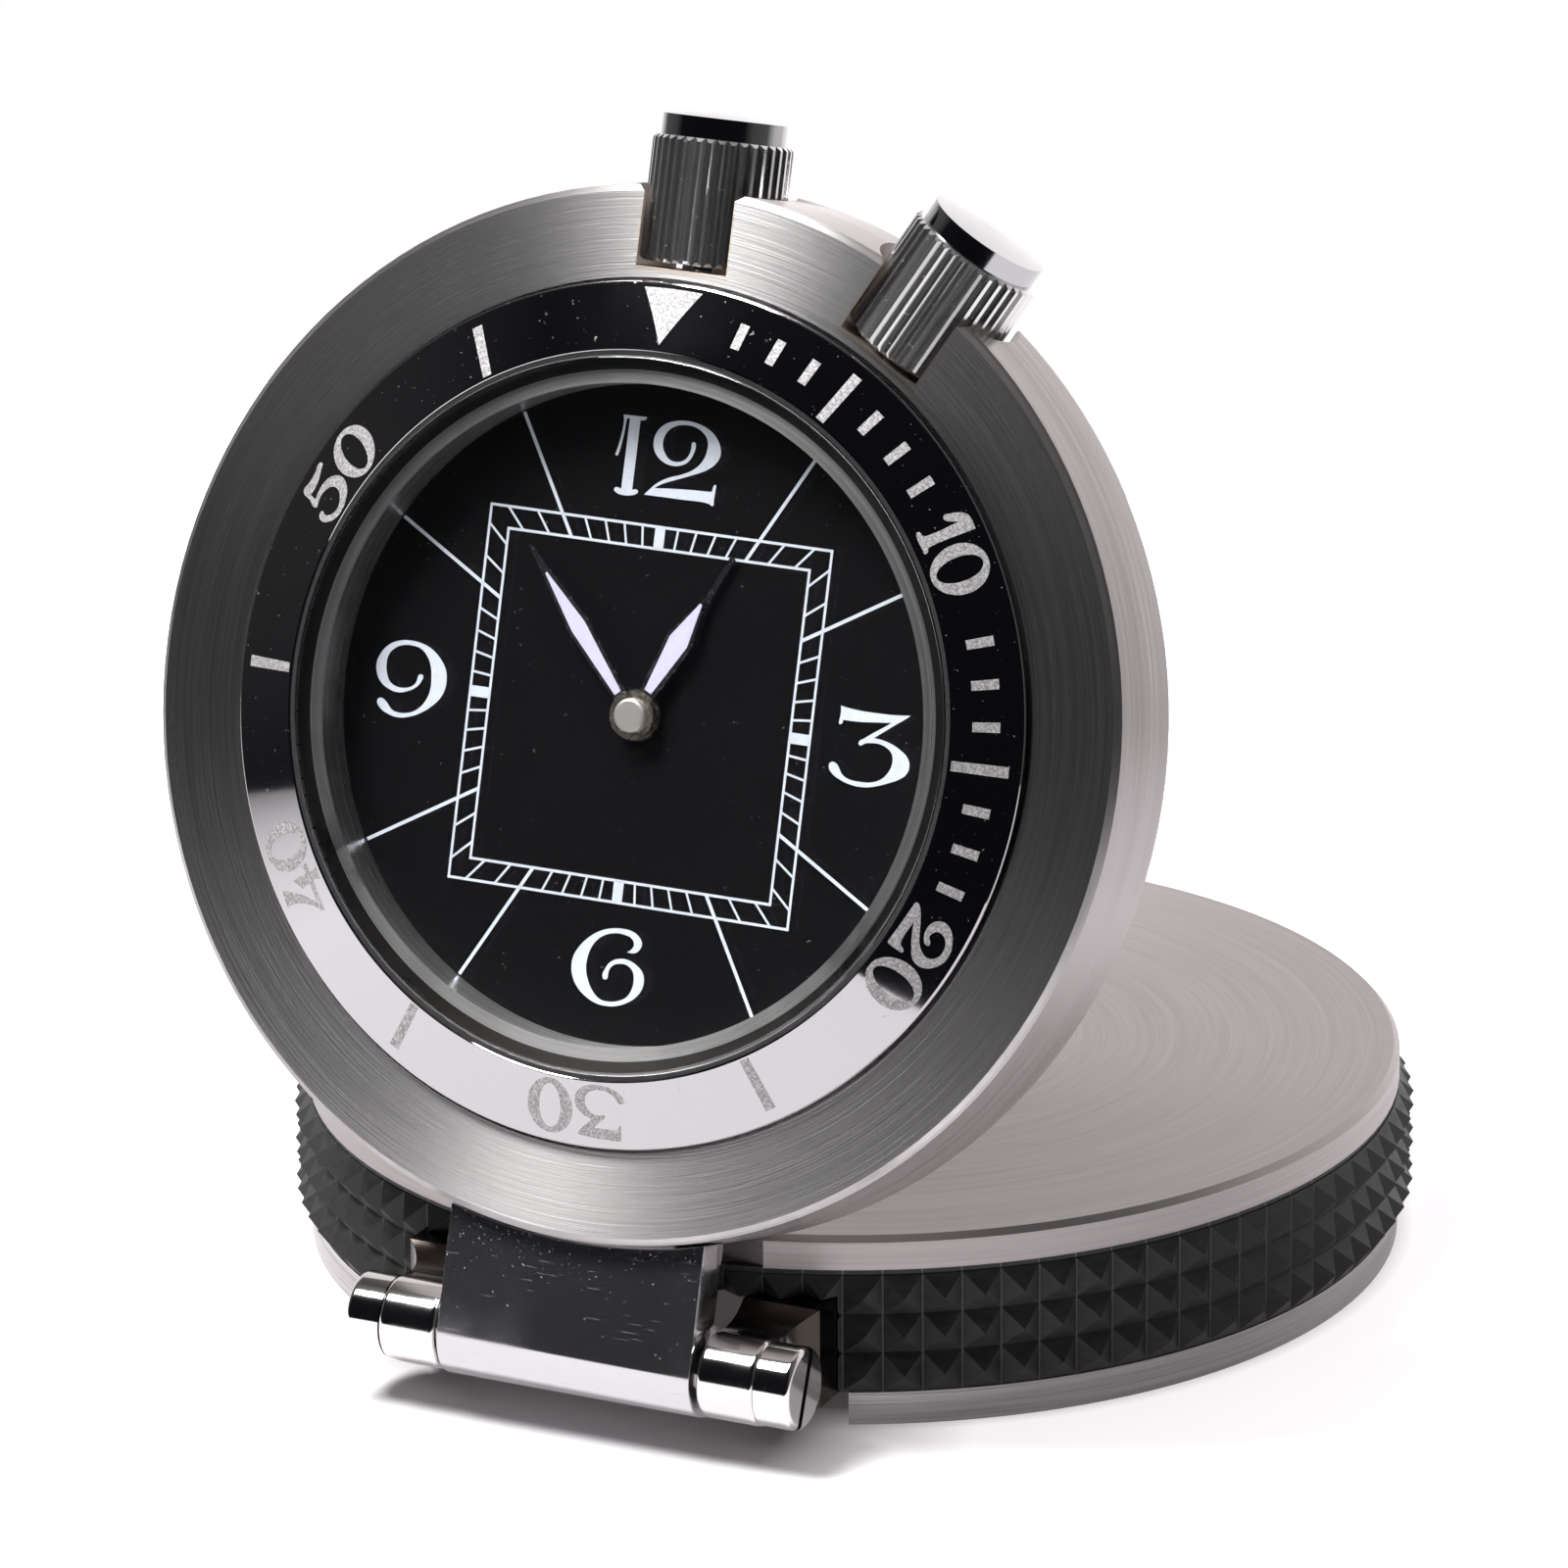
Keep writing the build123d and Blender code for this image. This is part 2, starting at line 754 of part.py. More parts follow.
# Crowns
def crown():
    """A fluted barrel along +Z, open at its inner end for the tube and bored for the stem."""
    points = []
    for flute in range(flute_count):
        land = full_turn / flute_count * flute_land_share / 2
        middle = full_turn / flute_count * flute
        valley = middle + full_turn / flute_count / 2
        for radius, angle in (
            (crown_radius, middle - land),
            (crown_radius, middle + land),
            (crown_radius - flute_depth, valley),
        ):
            points.append((radius * cos(radians(angle)), radius * sin(radians(angle))))
    outline = make_face(Polyline(*points, close=True))
    barrel = extrude(Pos(0, 0, crown_inner_end) * outline, crown_shoulder - crown_inner_end)
    edge = crown_radius - crown_edge
    envelope = lathe([
        (0, crown_inner_end),
        (edge, crown_inner_end),
        (crown_radius, crown_inner_end + crown_edge),
        (crown_radius, crown_shoulder - crown_edge),
        (edge, crown_shoulder),
        (0, crown_shoulder),
    ])
    barrel &= envelope
    well_end = crown_inner_end + tube_well_depth
    barrel -= disc(tube_radius + running_clearance, crown_inner_end - overrun, well_end)
    return barrel - disc(stem_radius + running_clearance, crown_inner_end, stem_outer_end + running_clearance)


def crown_cap():
    cap = disc(cap_radius, crown_shoulder, cap_end)
    dome_radius = (cap_radius**2 + cap_dome**2) / (2 * cap_dome)
    dome = Pos(0, 0, cap_end + cap_dome - dome_radius) * Sphere(dome_radius)
    cap += dome & disc(cap_radius, cap_end - cap_edge, cap_end + overrun)
    return cap


def stem():
    return disc(stem_radius, stem_inner_end, stem_outer_end)


# Writing the pieces
def write(name, shape, place):
    solids = shape if isinstance(shape, list) else [shape]
    placed = [place * solid for piece in solids for solid in piece.solids()]
    export_step(placed[0] if len(placed) == 1 else Compound(children=placed), f"parts/{name}.step")


cover_pieces = {
    "cover_plate": cover_plate(),
    "cover_ring": cover_ring(),
    "studded_band": studded_band(),
    "hinge_lug_left": hinge_lug(-1),
    "hinge_lug_right": hinge_lug(1),
    "lug_screws": lug_screws(),
    "hinge_pin": hinge_pin(),
    "hinge_screws": hinge_screws(),
}
head_pieces = {
    "case": case(),
    "case_back": case_back(),
    "case_back_gasket": back_gasket(),
    "case_back_screws": case_back_screws(),
    "bezel_ring": bezel_ring(),
    "crystal": crystal(),
    "crystal_gasket": crystal_gasket(),
    "flange_ring": flange_ring(),
    "dial": dial(),
    "movement_holder": movement_holder(),
    "movement": movement(),
    "battery": battery(),
    "buzzer_disc": buzzer_disc(),
    "crown_tubes": crown_tubes(),
    "hinge_leaf": hinge_leaf(),
    "leaf_screws": leaf_screws(),
    "minute_hand": minute_hand(),
    "hand_cap": hand_cap(),
    "minute_arbor": minute_arbor(),
    "hour_hand": hour_hand(),
    "hour_wheel": hour_wheel(),
    "alarm_hand": alarm_hand(),
    "alarm_wheel": alarm_wheel(),
}
for crown_name, crown_angle in (("time", time_crown_angle), ("alarm", alarm_crown_angle)):
    head_pieces[f"{crown_name}_stem"] = toward_rim(crown_angle) * stem()
    head_pieces[f"{crown_name}_crown"] = toward_rim(crown_angle) * crown()
    head_pieces[f"{crown_name}_crown_cap"] = toward_rim(crown_angle) * crown_cap()

os.makedirs("parts", exist_ok=True)
for node, piece in cover_pieces.items():
    write(node, piece, cover_place)
for node, piece in head_pieces.items():
    write(node, piece, head_place)
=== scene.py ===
import bpy
import bmesh
from math import atan2, cos, pi, radians, sin
from mathutils import Matrix, Vector


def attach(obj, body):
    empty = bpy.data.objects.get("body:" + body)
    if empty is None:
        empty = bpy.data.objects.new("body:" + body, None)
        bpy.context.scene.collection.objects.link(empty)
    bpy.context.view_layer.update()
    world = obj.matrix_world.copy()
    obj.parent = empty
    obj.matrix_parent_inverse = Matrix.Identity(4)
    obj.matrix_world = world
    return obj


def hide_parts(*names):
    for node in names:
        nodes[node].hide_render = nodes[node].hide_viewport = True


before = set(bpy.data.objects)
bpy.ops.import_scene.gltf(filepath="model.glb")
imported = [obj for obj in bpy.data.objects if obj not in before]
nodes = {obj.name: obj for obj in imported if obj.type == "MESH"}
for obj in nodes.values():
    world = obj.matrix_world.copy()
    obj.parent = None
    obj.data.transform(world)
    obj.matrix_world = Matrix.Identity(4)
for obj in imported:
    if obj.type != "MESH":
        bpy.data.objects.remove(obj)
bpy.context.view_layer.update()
print("frame loaded,", len(nodes), "nodes")

# Sizes of pieces are in millimetres below, and mm turns them into metres.
mm = 0.001

# The head's own axes: x to three o'clock, y to twelve, z out of the dial, zero at the case's middle.
head = {"centre": (0, -23.1385, 39.5301), "lean": 16.65}
headTurn = radians(90 - head["lean"])
headAxis = (0, -cos(radians(head["lean"])), sin(radians(head["lean"])))
headMatrix = Matrix.Translation(Vector(head["centre"]) * mm) @ Matrix.Rotation(headTurn, 4, "X") @ Matrix.Scale(mm, 4)
cover = {"centre": (0, 2.725, 0), "axis": (0, 0, 1)}


def toMesh(form, name):
    mesh = bpy.data.meshes.new(name)
    form.to_mesh(mesh)
    form.free()
    return mesh


def closedMesh(form, name):
    bmesh.ops.recalc_face_normals(form, faces=form.faces)
    return toMesh(form, name)


def link(thing):
    bpy.context.scene.collection.objects.link(thing)


def addPiece(name, mesh, place, body, material):
    mesh.transform(place)
    mesh.update()
    mesh.materials.append(material)
    piece = bpy.data.objects.new(name, mesh)
    link(piece)
    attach(piece, body)
    return piece


def standIn(name, mesh, place, body, material, nodeName):
    # A piece shown in the place of a node.
    piece = addPiece(name, mesh, place, body, material)
    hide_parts(nodeName)


def fillRamp(ramp, stops):
    while len(ramp.elements) < len(stops):
        ramp.elements.new(0.5)
    for element, (place, color) in zip(ramp.elements, stops):
        element.position = place
        element.color = (*color, 1)


def shaded(color, share):
    return [min(1, channel * share) for channel in color]


# Noise hardly leaves the range between these two.
noiseLow, noiseHigh = 0.3, 0.7


class Finish:
    # A material with one Principled shader, and short calls for the nodes that feed it.
    def __init__(self, name, color, metallic, roughness):
        self.material = bpy.data.materials.new(name)
        self.material.use_nodes = True
        self.tree = self.material.node_tree
        self.shader = self.tree.nodes["Principled BSDF"]
        self.set("Base Color", (*color, 1))
        self.set("Metallic", metallic)
        self.set("Roughness", roughness)

    def set(self, socket, value):
        self.shader.inputs[socket].default_value = value

    def feed(self, value, socket):
        self.link(value, self.shader.inputs[socket])

    def link(self, source, target):
        self.tree.links.new(source, target)

    def node(self, kind, **settings):
        made = self.tree.nodes.new(kind)
        for key, value in settings.items():
            setattr(made, key, value)
        return made

    def position(self):
        return self.node("ShaderNodeTexCoord").outputs["Object"]

    def split(self, place):
        made = self.node("ShaderNodeSeparateXYZ")
        self.link(place, made.inputs[0])
        return made.outputs

    def math(self, operation, first, second=None, clamp=False):
        made = self.node("ShaderNodeMath", operation=operation, use_clamp=clamp)
        for slot, value in enumerate((first, second)):
            if isinstance(value, (int, float)):
                made.inputs[slot].default_value = value
            elif value is not None:
                self.link(value, made.inputs[slot])
        return made.outputs[0]

    def vector(self, operation, first, second, result="Vector"):
        made = self.node("ShaderNodeVectorMath", operation=operation)
        for slot, value in enumerate((first, second)):
            if isinstance(value, (tuple, Vector)):
                made.inputs[slot].default_value = value
            else:
                self.link(value, made.inputs[slot])
        return made.outputs[result]

    def mixed(self, first, firstShare, second, secondShare):
        return self.math("ADD", self.math("MULTIPLY", first, firstShare), self.math("MULTIPLY", second, secondShare))

    def reach(self, across, along):
        # The distance to an axis, from the two distances square to it.
        squares = self.math("ADD", self.math("MULTIPLY", across, across), self.math("MULTIPLY", along, along))
        return self.math("SQRT", squares)

    def noise(self, place, scale, detail=2.0, roughness=0.5):
        made = self.node("ShaderNodeTexNoise")
        made.inputs["Scale"].default_value = scale
        made.inputs["Detail"].default_value = detail
        made.inputs["Roughness"].default_value = roughness
        self.link(place, made.inputs["Vector"])
        return made.outputs["Fac"]

    def specks(self, place, scale, threshold):
        return self.math("GREATER_THAN", self.noise(place, scale, roughness=0.6), threshold)

    def stretched(self, place, scale, rotation=(0, 0, 0)):
        made = self.node("ShaderNodeMapping")
        made.inputs["Rotation"].default_value = rotation
        made.inputs["Scale"].default_value = scale
        self.link(place, made.inputs["Vector"])
        return made.outputs["Vector"]

    def remap(self, value, low, high, newLow, newHigh):
        made = self.node("ShaderNodeMapRange")
        self.link(value, made.inputs["Value"])
        for socket, number in zip(("From Min", "From Max", "To Min", "To Max"), (low, high, newLow, newHigh)):
            made.inputs[socket].default_value = number
        return made.outputs["Result"]

    def ramp(self, value, stops):
        made = self.node("ShaderNodeValToRGB")
        self.link(value, made.inputs["Fac"])
        fillRamp(made.color_ramp, stops)
        return made.outputs["Color"]

    def blend(self, share, first, color):
        made = self.node("ShaderNodeMix", data_type="RGBA")
        self.link(share, made.inputs[0])
        self.link(first, made.inputs[6])
        made.inputs[7].default_value = (*color, 1)
        return made.outputs[2]

    def spread(self, noise, low, high):
        return self.remap(noise, noiseLow, noiseHigh, low, high)

    def bump(self, height, strength, depth):
        made = self.node("ShaderNodeBump")
        made.inputs["Strength"].default_value = strength
        made.inputs["Distance"].default_value = depth * mm
        self.link(height, made.inputs["Height"])
        self.feed(made.outputs["Normal"], "Normal")

    def around(self, centre, turn):
        # Splits a place into distance from an axis, height along it and the unit direction round it.
        mapping = self.node("ShaderNodeMapping")
        mapping.inputs["Location"].default_value = Matrix.Rotation(-turn, 3, "X") @ Vector(centre) * -mm
        mapping.inputs["Rotation"].default_value = (-turn, 0, 0)
        self.link(self.position(), mapping.inputs["Vector"])
        x, y, height = self.split(mapping.outputs["Vector"])
        away = self.math("MAXIMUM", self.reach(x, y), 0.00001)  # never zero, as it divides
        return away, height, self.math("DIVIDE", x, away), self.math("DIVIDE", y, away)

    def streaks(self, away, height, east, north, fineness, arc):
        # Noise drawn out along the lathe's direction.
        joined = self.node("ShaderNodeCombineXYZ")
        self.link(self.math("MULTIPLY", self.math("ADD", away, height), fineness), joined.inputs[0])
        self.link(self.math("MULTIPLY", east, arc), joined.inputs[1])
        self.link(self.math("MULTIPLY", north, arc), joined.inputs[2])
        return self.noise(joined.outputs[0], 1.0, detail=3.0, roughness=0.6)

    def turnedGrain(self, centre, axis, amount):
        # Stretches highlights across the circular grain, wherever the piece is turned to.
        fromCentre = self.vector("SUBTRACT", self.position(), Vector(centre) * mm)
        grain = self.vector("CROSS_PRODUCT", axis, fromCentre)
        toWorld = self.node("ShaderNodeVectorTransform", vector_type="VECTOR",
                            convert_from="OBJECT", convert_to="WORLD")
        self.link(grain, toWorld.inputs[0])
        normal = self.node("ShaderNodeNewGeometry").outputs["Normal"]
        self.feed(self.vector("CROSS_PRODUCT", toWorld.outputs[0], normal), "Tangent")
        self.set("Anisotropic", amount)


# The crowns' recesses in the case, bored along the clock angles. Their walls are painted browner and darker than the
# brushed face, a painted shade.
recesses = {"angles": (0, 30), "radius": 4.69, "start": 24.8}


def shadeRecesses(finish, away, height, east, north, tint, color):
    for clockAngle in recesses["angles"]:
        s, c = sin(radians(clockAngle)), cos(radians(clockAngle))
        across = finish.math("MULTIPLY", finish.mixed(east, c, north, -s), away)
        along = finish.math("MULTIPLY", finish.mixed(east, s, north, c), away)
        near = finish.math("LESS_THAN", finish.reach(across, height), recesses["radius"] * mm)
        inside = finish.math("MULTIPLY", near, finish.math("GREATER_THAN", along, recesses["start"] * mm))
        tint = finish.blend(inside, tint, color)
    return tint


# Colors and surfaces of the steel pieces. band is the distance from the axis past which bandColor begins.
steelLooks = {
    # On the case, bandColor is a painted shade: its outer edge and side past band are coloured darker.
    "case": {"color": (0.50, 0.49, 0.485), "metallic": 0.962, "roughness": 0.32, "roughnessSpread": 0.07,
             "contrast": 0.32, "fineness": 8000, "arc": 2.2, "bump": 0.8, "anisotropy": 0.9,
             "recessShade": (0.50, 0.44, 0.39), "band": 29.6, "bandColor": (0.44, 0.41, 0.41)},
    "plate": {"color": (0.42, 0.385, 0.385), "metallic": 1.0, "roughness": 0.46, "roughnessSpread": 0.03,
              "contrast": 0.07, "fineness": 8000, "arc": 2, "bump": 0.1, "anisotropy": 0.45},
    "rim": {"color": (0.46, 0.435, 0.435), "metallic": 1.0, "roughness": 0.38, "roughnessSpread": 0.05,
            "contrast": 0.2, "fineness": 8000, "arc": 2, "bump": 0.3, "anisotropy": 0.7},
    "flange": {"color": (0.68, 0.67, 0.66), "metallic": 1.0, "roughness": 0.3, "roughnessSpread": 0.05,
               "contrast": 0.3, "fineness": 4200, "arc": 0.4, "bump": 0.2, "anisotropy": 0.6,
               "band": 19.35, "bandColor": (0.10, 0.095, 0.09)},
    "mirror": {"color": (0.48, 0.467, 0.48), "roughness": 0.03, "bump": 0.02, "dust": 0.735},
    "polished": {"color": (0.75, 0.73, 0.72), "roughness": 0.06, "bump": 0.04},
    "crownCap": {"color": (0.46, 0.46, 0.47), "roughness": 0.07, "bump": 0.04},
    "handCap": {"color": (0.66, 0.64, 0.61), "roughness": 0.40, "bump": 0.05},
    "crown": {"color": (0.74, 0.73, 0.73), "roughness": 0.24, "bump": 0.05},
    "brass": {"color": (0.72, 0.52, 0.25), "roughness": 0.25, "bump": 0.05},
    "movement": {"color": (0.66, 0.62, 0.56), "roughness": 0.3, "bump": 0.1},
}

# The broad streaks are wider across and longer along the grain than the fine ones. Depths are in millimetres.
brushing = {"fine": 0.6, "broad": 0.4, "wider": 4, "longer": 2, "low": 0.36, "high": 0.64, "depth": 0.03}


def brushedSteel(name, centre, axis, turn, lookName):
    look = steelLooks[lookName]
    finish = Finish(name, look["color"], look["metallic"], look["roughness"])
    place = finish.around(centre, turn)
    away = place[0]
    fine = finish.streaks(*place, look["fineness"], look["arc"])
    broad = finish.streaks(*place, look["fineness"] / brushing["wider"], look["arc"] / brushing["longer"])
    streaks = finish.mixed(fine, brushing["fine"], broad, brushing["broad"])
    low, high = shaded(look["color"], 1 - look["contrast"]), shaded(look["color"], 1 + look["contrast"])
    tint = finish.ramp(streaks, ((brushing["low"], low), (brushing["high"], high)))
    # Painted shade on the walls of the crowns' recesses.
    if "recessShade" in look:
        tint = shadeRecesses(finish, *place, tint, look["recessShade"])
    # On the case this band is a painted shade on the outer side.
    if "band" in look:
        tint = finish.blend(finish.math("GREATER_THAN", away, look["band"] * mm), tint, look["bandColor"])
    finish.feed(tint, "Base Color")
    dull, bright = look["roughness"] + look["roughnessSpread"], look["roughness"] - look["roughnessSpread"]
    finish.feed(finish.spread(streaks, dull, bright), "Roughness")
    finish.bump(fine, look["bump"], brushing["depth"])
    finish.turnedGrain(centre, axis, look["anisotropy"])
    return finish.material


polishing = {"cloud": 90.0, "cloudRoughness": 0.03, "specks": 2600.0, "speckThreshold": 0.73, "speckRoughness": 0.12,
             "dust": 4200.0, "dustMetallic": 0.6, "depth": 0.01}


def polishedSteel(name, lookName):
    look = steelLooks[lookName]
    finish = Finish(name, look["color"], 1.0, look["roughness"])
    place = finish.position()
    cloud = finish.noise(place, polishing["cloud"], detail=3.0)
    specks = finish.noise(place, polishing["specks"])
    scratched = finish.math("GREATER_THAN", specks, polishing["speckThreshold"])
    scratched = finish.math("MULTIPLY", scratched, polishing["speckRoughness"])
    shine = finish.spread(cloud, look["roughness"], look["roughness"] + polishing["cloudRoughness"])
    finish.feed(finish.math("ADD", shine, scratched), "Roughness")
    if "dust" in look:
        dusty = finish.specks(place, polishing["dust"], look["dust"])
        finish.feed(finish.remap(dusty, 0.0, 1.0, 1.0, polishing["dustMetallic"]), "Metallic")
    finish.bump(specks, look["bump"], polishing["depth"])
    return finish.material


# The lugs are bright round the knuckle. The flare behind it is painted dark, a painted reflection of the head's
# underside.
lugs = {"axisY": -33.525, "axisZ": 4.8, "knuckle": 2.56, "fade": 0.5, "dark": (0.05, 0.041, 0.036), "cloud": 300.0,
        "cloudShade": 0.95, "shine": (0.05, 0.12), "darkRoughness": 0.12, "bump": 0.05, "depth": 0.02}


def lugSteel():
    look = lugs
    color = steelLooks["polished"]["color"]
    finish = Finish("lug_polished_steel", color, 1.0, steelLooks["polished"]["roughness"])
    place = finish.position()
    _, y, z = finish.split(place)
    y = finish.math("SUBTRACT", y, look["axisY"] * mm)
    z = finish.math("SUBTRACT", z, look["axisZ"] * mm)
    share = finish.remap(finish.reach(y, z), look["knuckle"] * mm, (look["knuckle"] + look["fade"]) * mm, 0.0, 1.0)
    cloud = finish.noise(place, look["cloud"], detail=3.0)
    tint = finish.ramp(cloud, ((noiseLow, shaded(color, look["cloudShade"])), (noiseHigh, color)))
    # Painted reflection: the flare past the knuckle is coloured dark.
    finish.feed(finish.blend(share, tint, look["dark"]), "Base Color")
    shine = finish.spread(cloud, *look["shine"])
    finish.feed(finish.math("ADD", shine, finish.math("MULTIPLY", share, look["darkRoughness"])), "Roughness")
    finish.bump(cloud, look["bump"], look["depth"])
    return finish.material


# Dark polish with fine handling marks: specks near the head and short streaks along the hinge.
leafPolish = {"color": (0.60, 0.59, 0.61), "metallic": 0.97, "roughness": 0.1, "cloud": 240.0, "shine": (0.07, 0.16),
              "specks": 5600.0, "speckFrom": 8.0, "speckTo": 12.5, "fewSpecks": 0.75, "moreSpecks": 0.675,
              "streakScale": (420.0, 9000.0, 9000.0), "streakTilt": 8, "streaks": 0.71, "streakStrength": 0.28,
              "markMetallic": 0.3, "markRoughness": 0.35, "bump": 0.15, "depth": 0.01}


def leafSteel():
    look = leafPolish
    finish = Finish("leaf_polished_steel", look["color"], look["metallic"], look["roughness"])
    place = finish.position()
    run = finish.stretched(place, look["streakScale"], (0, radians(look["streakTilt"]), 0))
    streak = finish.math("GREATER_THAN", finish.noise(run, 1.0), look["streaks"])
    height = finish.split(place)[2]
    nearHead = finish.remap(height, look["speckFrom"] * mm, look["speckTo"] * mm, look["fewSpecks"], look["moreSpecks"])
    speck = finish.specks(place, look["specks"], nearHead)
    marked = finish.math("MAXIMUM", finish.math("MULTIPLY", streak, look["streakStrength"]), speck, clamp=True)
    cloud = finish.noise(place, look["cloud"], detail=3.0)
    finish.feed(finish.remap(marked, 0.0, 1.0, look["metallic"], look["markMetallic"]), "Metallic")
    shine = finish.spread(cloud, *look["shine"])
    finish.feed(finish.math("ADD", shine, finish.math("MULTIPLY", marked, look["markRoughness"])), "Roughness")
    finish.bump(marked, look["bump"], look["depth"])
    return finish.material


rubberBand = {"color": (0.012, 0.012, 0.013), "worn": (0.03, 0.03, 0.032), "palest": (0.06, 0.06, 0.062),
              "stops": (0.35, 0.62, 0.8), "valley": (0.10, 0.10, 0.105), "valleyWidth": 0.022, "studs": 90,
              "wear": 700.0, "wearStretch": (1.0, 1.0, 3.5), "wearShare": 0.7, "cloud": 60.0, "cloudShare": 0.3,
              "roughness": 0.42, "shine": (0.35, 0.6), "specular": 0.35, "bump": 0.25, "depth": 0.05}


def rubber():
    # Worn black rubber with a paler line in each valley between two columns of studs.
    look = rubberBand
    finish = Finish("studded_black_rubber", look["color"], 0.0, look["roughness"])
    finish.set("Specular IOR Level", look["specular"])
    place = finish.position()
    away, height, east, north = finish.around(cover["centre"], 0.0)
    angle = finish.math("ARCTAN2", east, finish.math("MULTIPLY", north, -1.0))
    turns = finish.math("MULTIPLY", angle, look["studs"] / (2 * pi))
    column = finish.math("FRACT", finish.math("ADD", turns, 10.0 * look["studs"]))  # kept above zero
    toValley = finish.math("MINIMUM", column, finish.math("SUBTRACT", 1.0, column))
    line = finish.math("LESS_THAN", toValley, look["valleyWidth"])
    wear = finish.noise(finish.stretched(place, look["wearStretch"]), look["wear"], detail=4.0, roughness=0.65)
    cloud = finish.noise(place, look["cloud"])
    mixed = finish.mixed(wear, look["wearShare"], cloud, look["cloudShare"])
    tint = finish.ramp(mixed, list(zip(look["stops"], (look["color"], look["worn"], look["palest"]))))
    finish.feed(finish.blend(line, tint, look["valley"]), "Base Color")
    finish.feed(finish.spread(mixed, *look["shine"]), "Roughness")
    finish.bump(wear, look["bump"], look["depth"])
    return finish.material


glass = {"ior": 1.77, "smudge": 120.0, "smudgeFrom": 0.45, "smudgeTo": 0.8, "smudgeRoughness": 0.02,
         "shadow": (0.9, 0.9, 0.9)}


def crystalGlass():
    look = glass
    finish = Finish("crystal_glass", (1.0, 1.0, 1.0), 0.0, 0.0)
    finish.set("IOR", look["ior"])
    finish.set("Transmission Weight", 1.0)
    smudge = finish.noise(finish.position(), look["smudge"], detail=3.0)
    smudge = finish.remap(smudge, look["smudgeFrom"], look["smudgeTo"], 0.0, look["smudgeRoughness"])
    finish.feed(smudge, "Roughness")
    # Light passes straight through to the dial, as it does through thin clear glass.
    clear = finish.node("ShaderNodeBsdfTransparent")
    clear.inputs["Color"].default_value = (*look["shadow"], 1)
    rays = finish.node("ShaderNodeLightPath")
    mix = finish.node("ShaderNodeMixShader")
    finish.link(rays.outputs["Is Shadow Ray"], mix.inputs[0])
    finish.link(finish.shader.outputs[0], mix.inputs[1])
    finish.link(clear.outputs[0], mix.inputs[2])
    finish.link(mix.outputs[0], finish.tree.nodes["Material Output"].inputs["Surface"])
    return finish.material


paint = {"grain": 3000.0, "roughnessSpread": 0.06, "dust": 3300.0, "dustThreshold": 0.74, "depth": 0.01}


def mattePaint(name, color, roughness, speckle, bump=0.1, specular=0.5, dust=None):
    finish = Finish(name, color, 0.0, roughness)
    finish.set("Specular IOR Level", specular)
    place = finish.position()
    grain = finish.noise(place, paint["grain"])
    tint = finish.ramp(grain, ((noiseLow, shaded(color, 1 - speckle)), (noiseHigh, shaded(color, 1 + speckle))))
    if dust:
        tint = finish.blend(finish.specks(place, paint["dust"], paint["dustThreshold"]), tint, dust)
    finish.feed(tint, "Base Color")
    spread = paint["roughnessSpread"]
    finish.feed(finish.spread(grain, roughness - spread, roughness + spread), "Roughness")
    finish.bump(grain, bump, paint["depth"])
    return finish.material


handBlades = {"dark": (0.009, 0.009, 0.01), "light": (0.016, 0.016, 0.018), "grain": 3000.0, "hub": 1.42,
              "hubColor": (0.60, 0.54, 0.47), "roughness": 0.25, "shine": (0.2, 0.3), "bump": 0.1, "depth": 0.01}


def handMetal():
    # Black blades on a bright turned hub.
    look = handBlades
    finish = Finish("hand_black_metal", look["dark"], 0.0, look["roughness"])
    away = finish.around(head["centre"], headTurn)[0]
    hub = finish.math("LESS_THAN", away, look["hub"] * mm)
    grain = finish.noise(finish.position(), look["grain"])
    tint = finish.ramp(grain, ((noiseLow, look["dark"]), (noiseHigh, look["light"])))
    finish.feed(finish.blend(hub, tint, look["hubColor"]), "Base Color")
    finish.feed(hub, "Metallic")
    finish.feed(finish.spread(grain, *look["shine"]), "Roughness")
    finish.bump(grain, look["bump"], look["depth"])
    return finish.material


blasted = {"dark": (0.25, 0.24, 0.24), "middle": (0.36, 0.35, 0.355), "bright": (0.55, 0.535, 0.54),
           "stops": (0.38, 0.5, 0.62), "grain": 7000.0, "metallic": 0.3, "roughness": 0.55, "bump": 0.5, "depth": 0.02}


def blastedSteel():
    look = blasted
    finish = Finish("blasted_marks", look["middle"], look["metallic"], look["roughness"])
    grain = finish.noise(finish.position(), look["grain"], roughness=0.7)
    tint = finish.ramp(grain, list(zip(look["stops"], (look["dark"], look["middle"], look["bright"]))))
    finish.feed(tint, "Base Color")
    finish.bump(grain, look["bump"], look["depth"])
    return finish.material


caseSteel = brushedSteel("case_brushed_steel", head["centre"], headAxis, headTurn, "case")
plateSteel = brushedSteel("cover_satin_steel", cover["centre"], cover["axis"], 0.0, "plate")
rimSteel = brushedSteel("rim_brushed_steel", cover["centre"], cover["axis"], 0.0, "rim")
flangeSteel = brushedSteel("flange_turned_steel", head["centre"], headAxis, headTurn, "flange")
mirrorSteel = polishedSteel("bezel_mirror_steel", "mirror")
polished = polishedSteel("polished_steel", "polished")
crownSteel = polishedSteel("crown_steel", "crown")
crownCapSteel = polishedSteel("crown_cap_steel", "crownCap")
handCapSteel = polishedSteel("hand_cap_steel", "handCap")
brassFinish = polishedSteel("wheel_brass", "brass")
movementFinish = polishedSteel("movement_metal", "movement")
lugFinish = lugSteel()
leafFinish = leafSteel()
rubberFinish = rubber()
glassFinish = crystalGlass()
marksFinish = blastedSteel()
handFinish = handMetal()
dialFinish = mattePaint("dial_black_lacquer", (0.0018, 0.0018, 0.0023), 0.65, 0.3, bump=0.2, specular=0.07,
                        dust=(0.10, 0.10, 0.11))
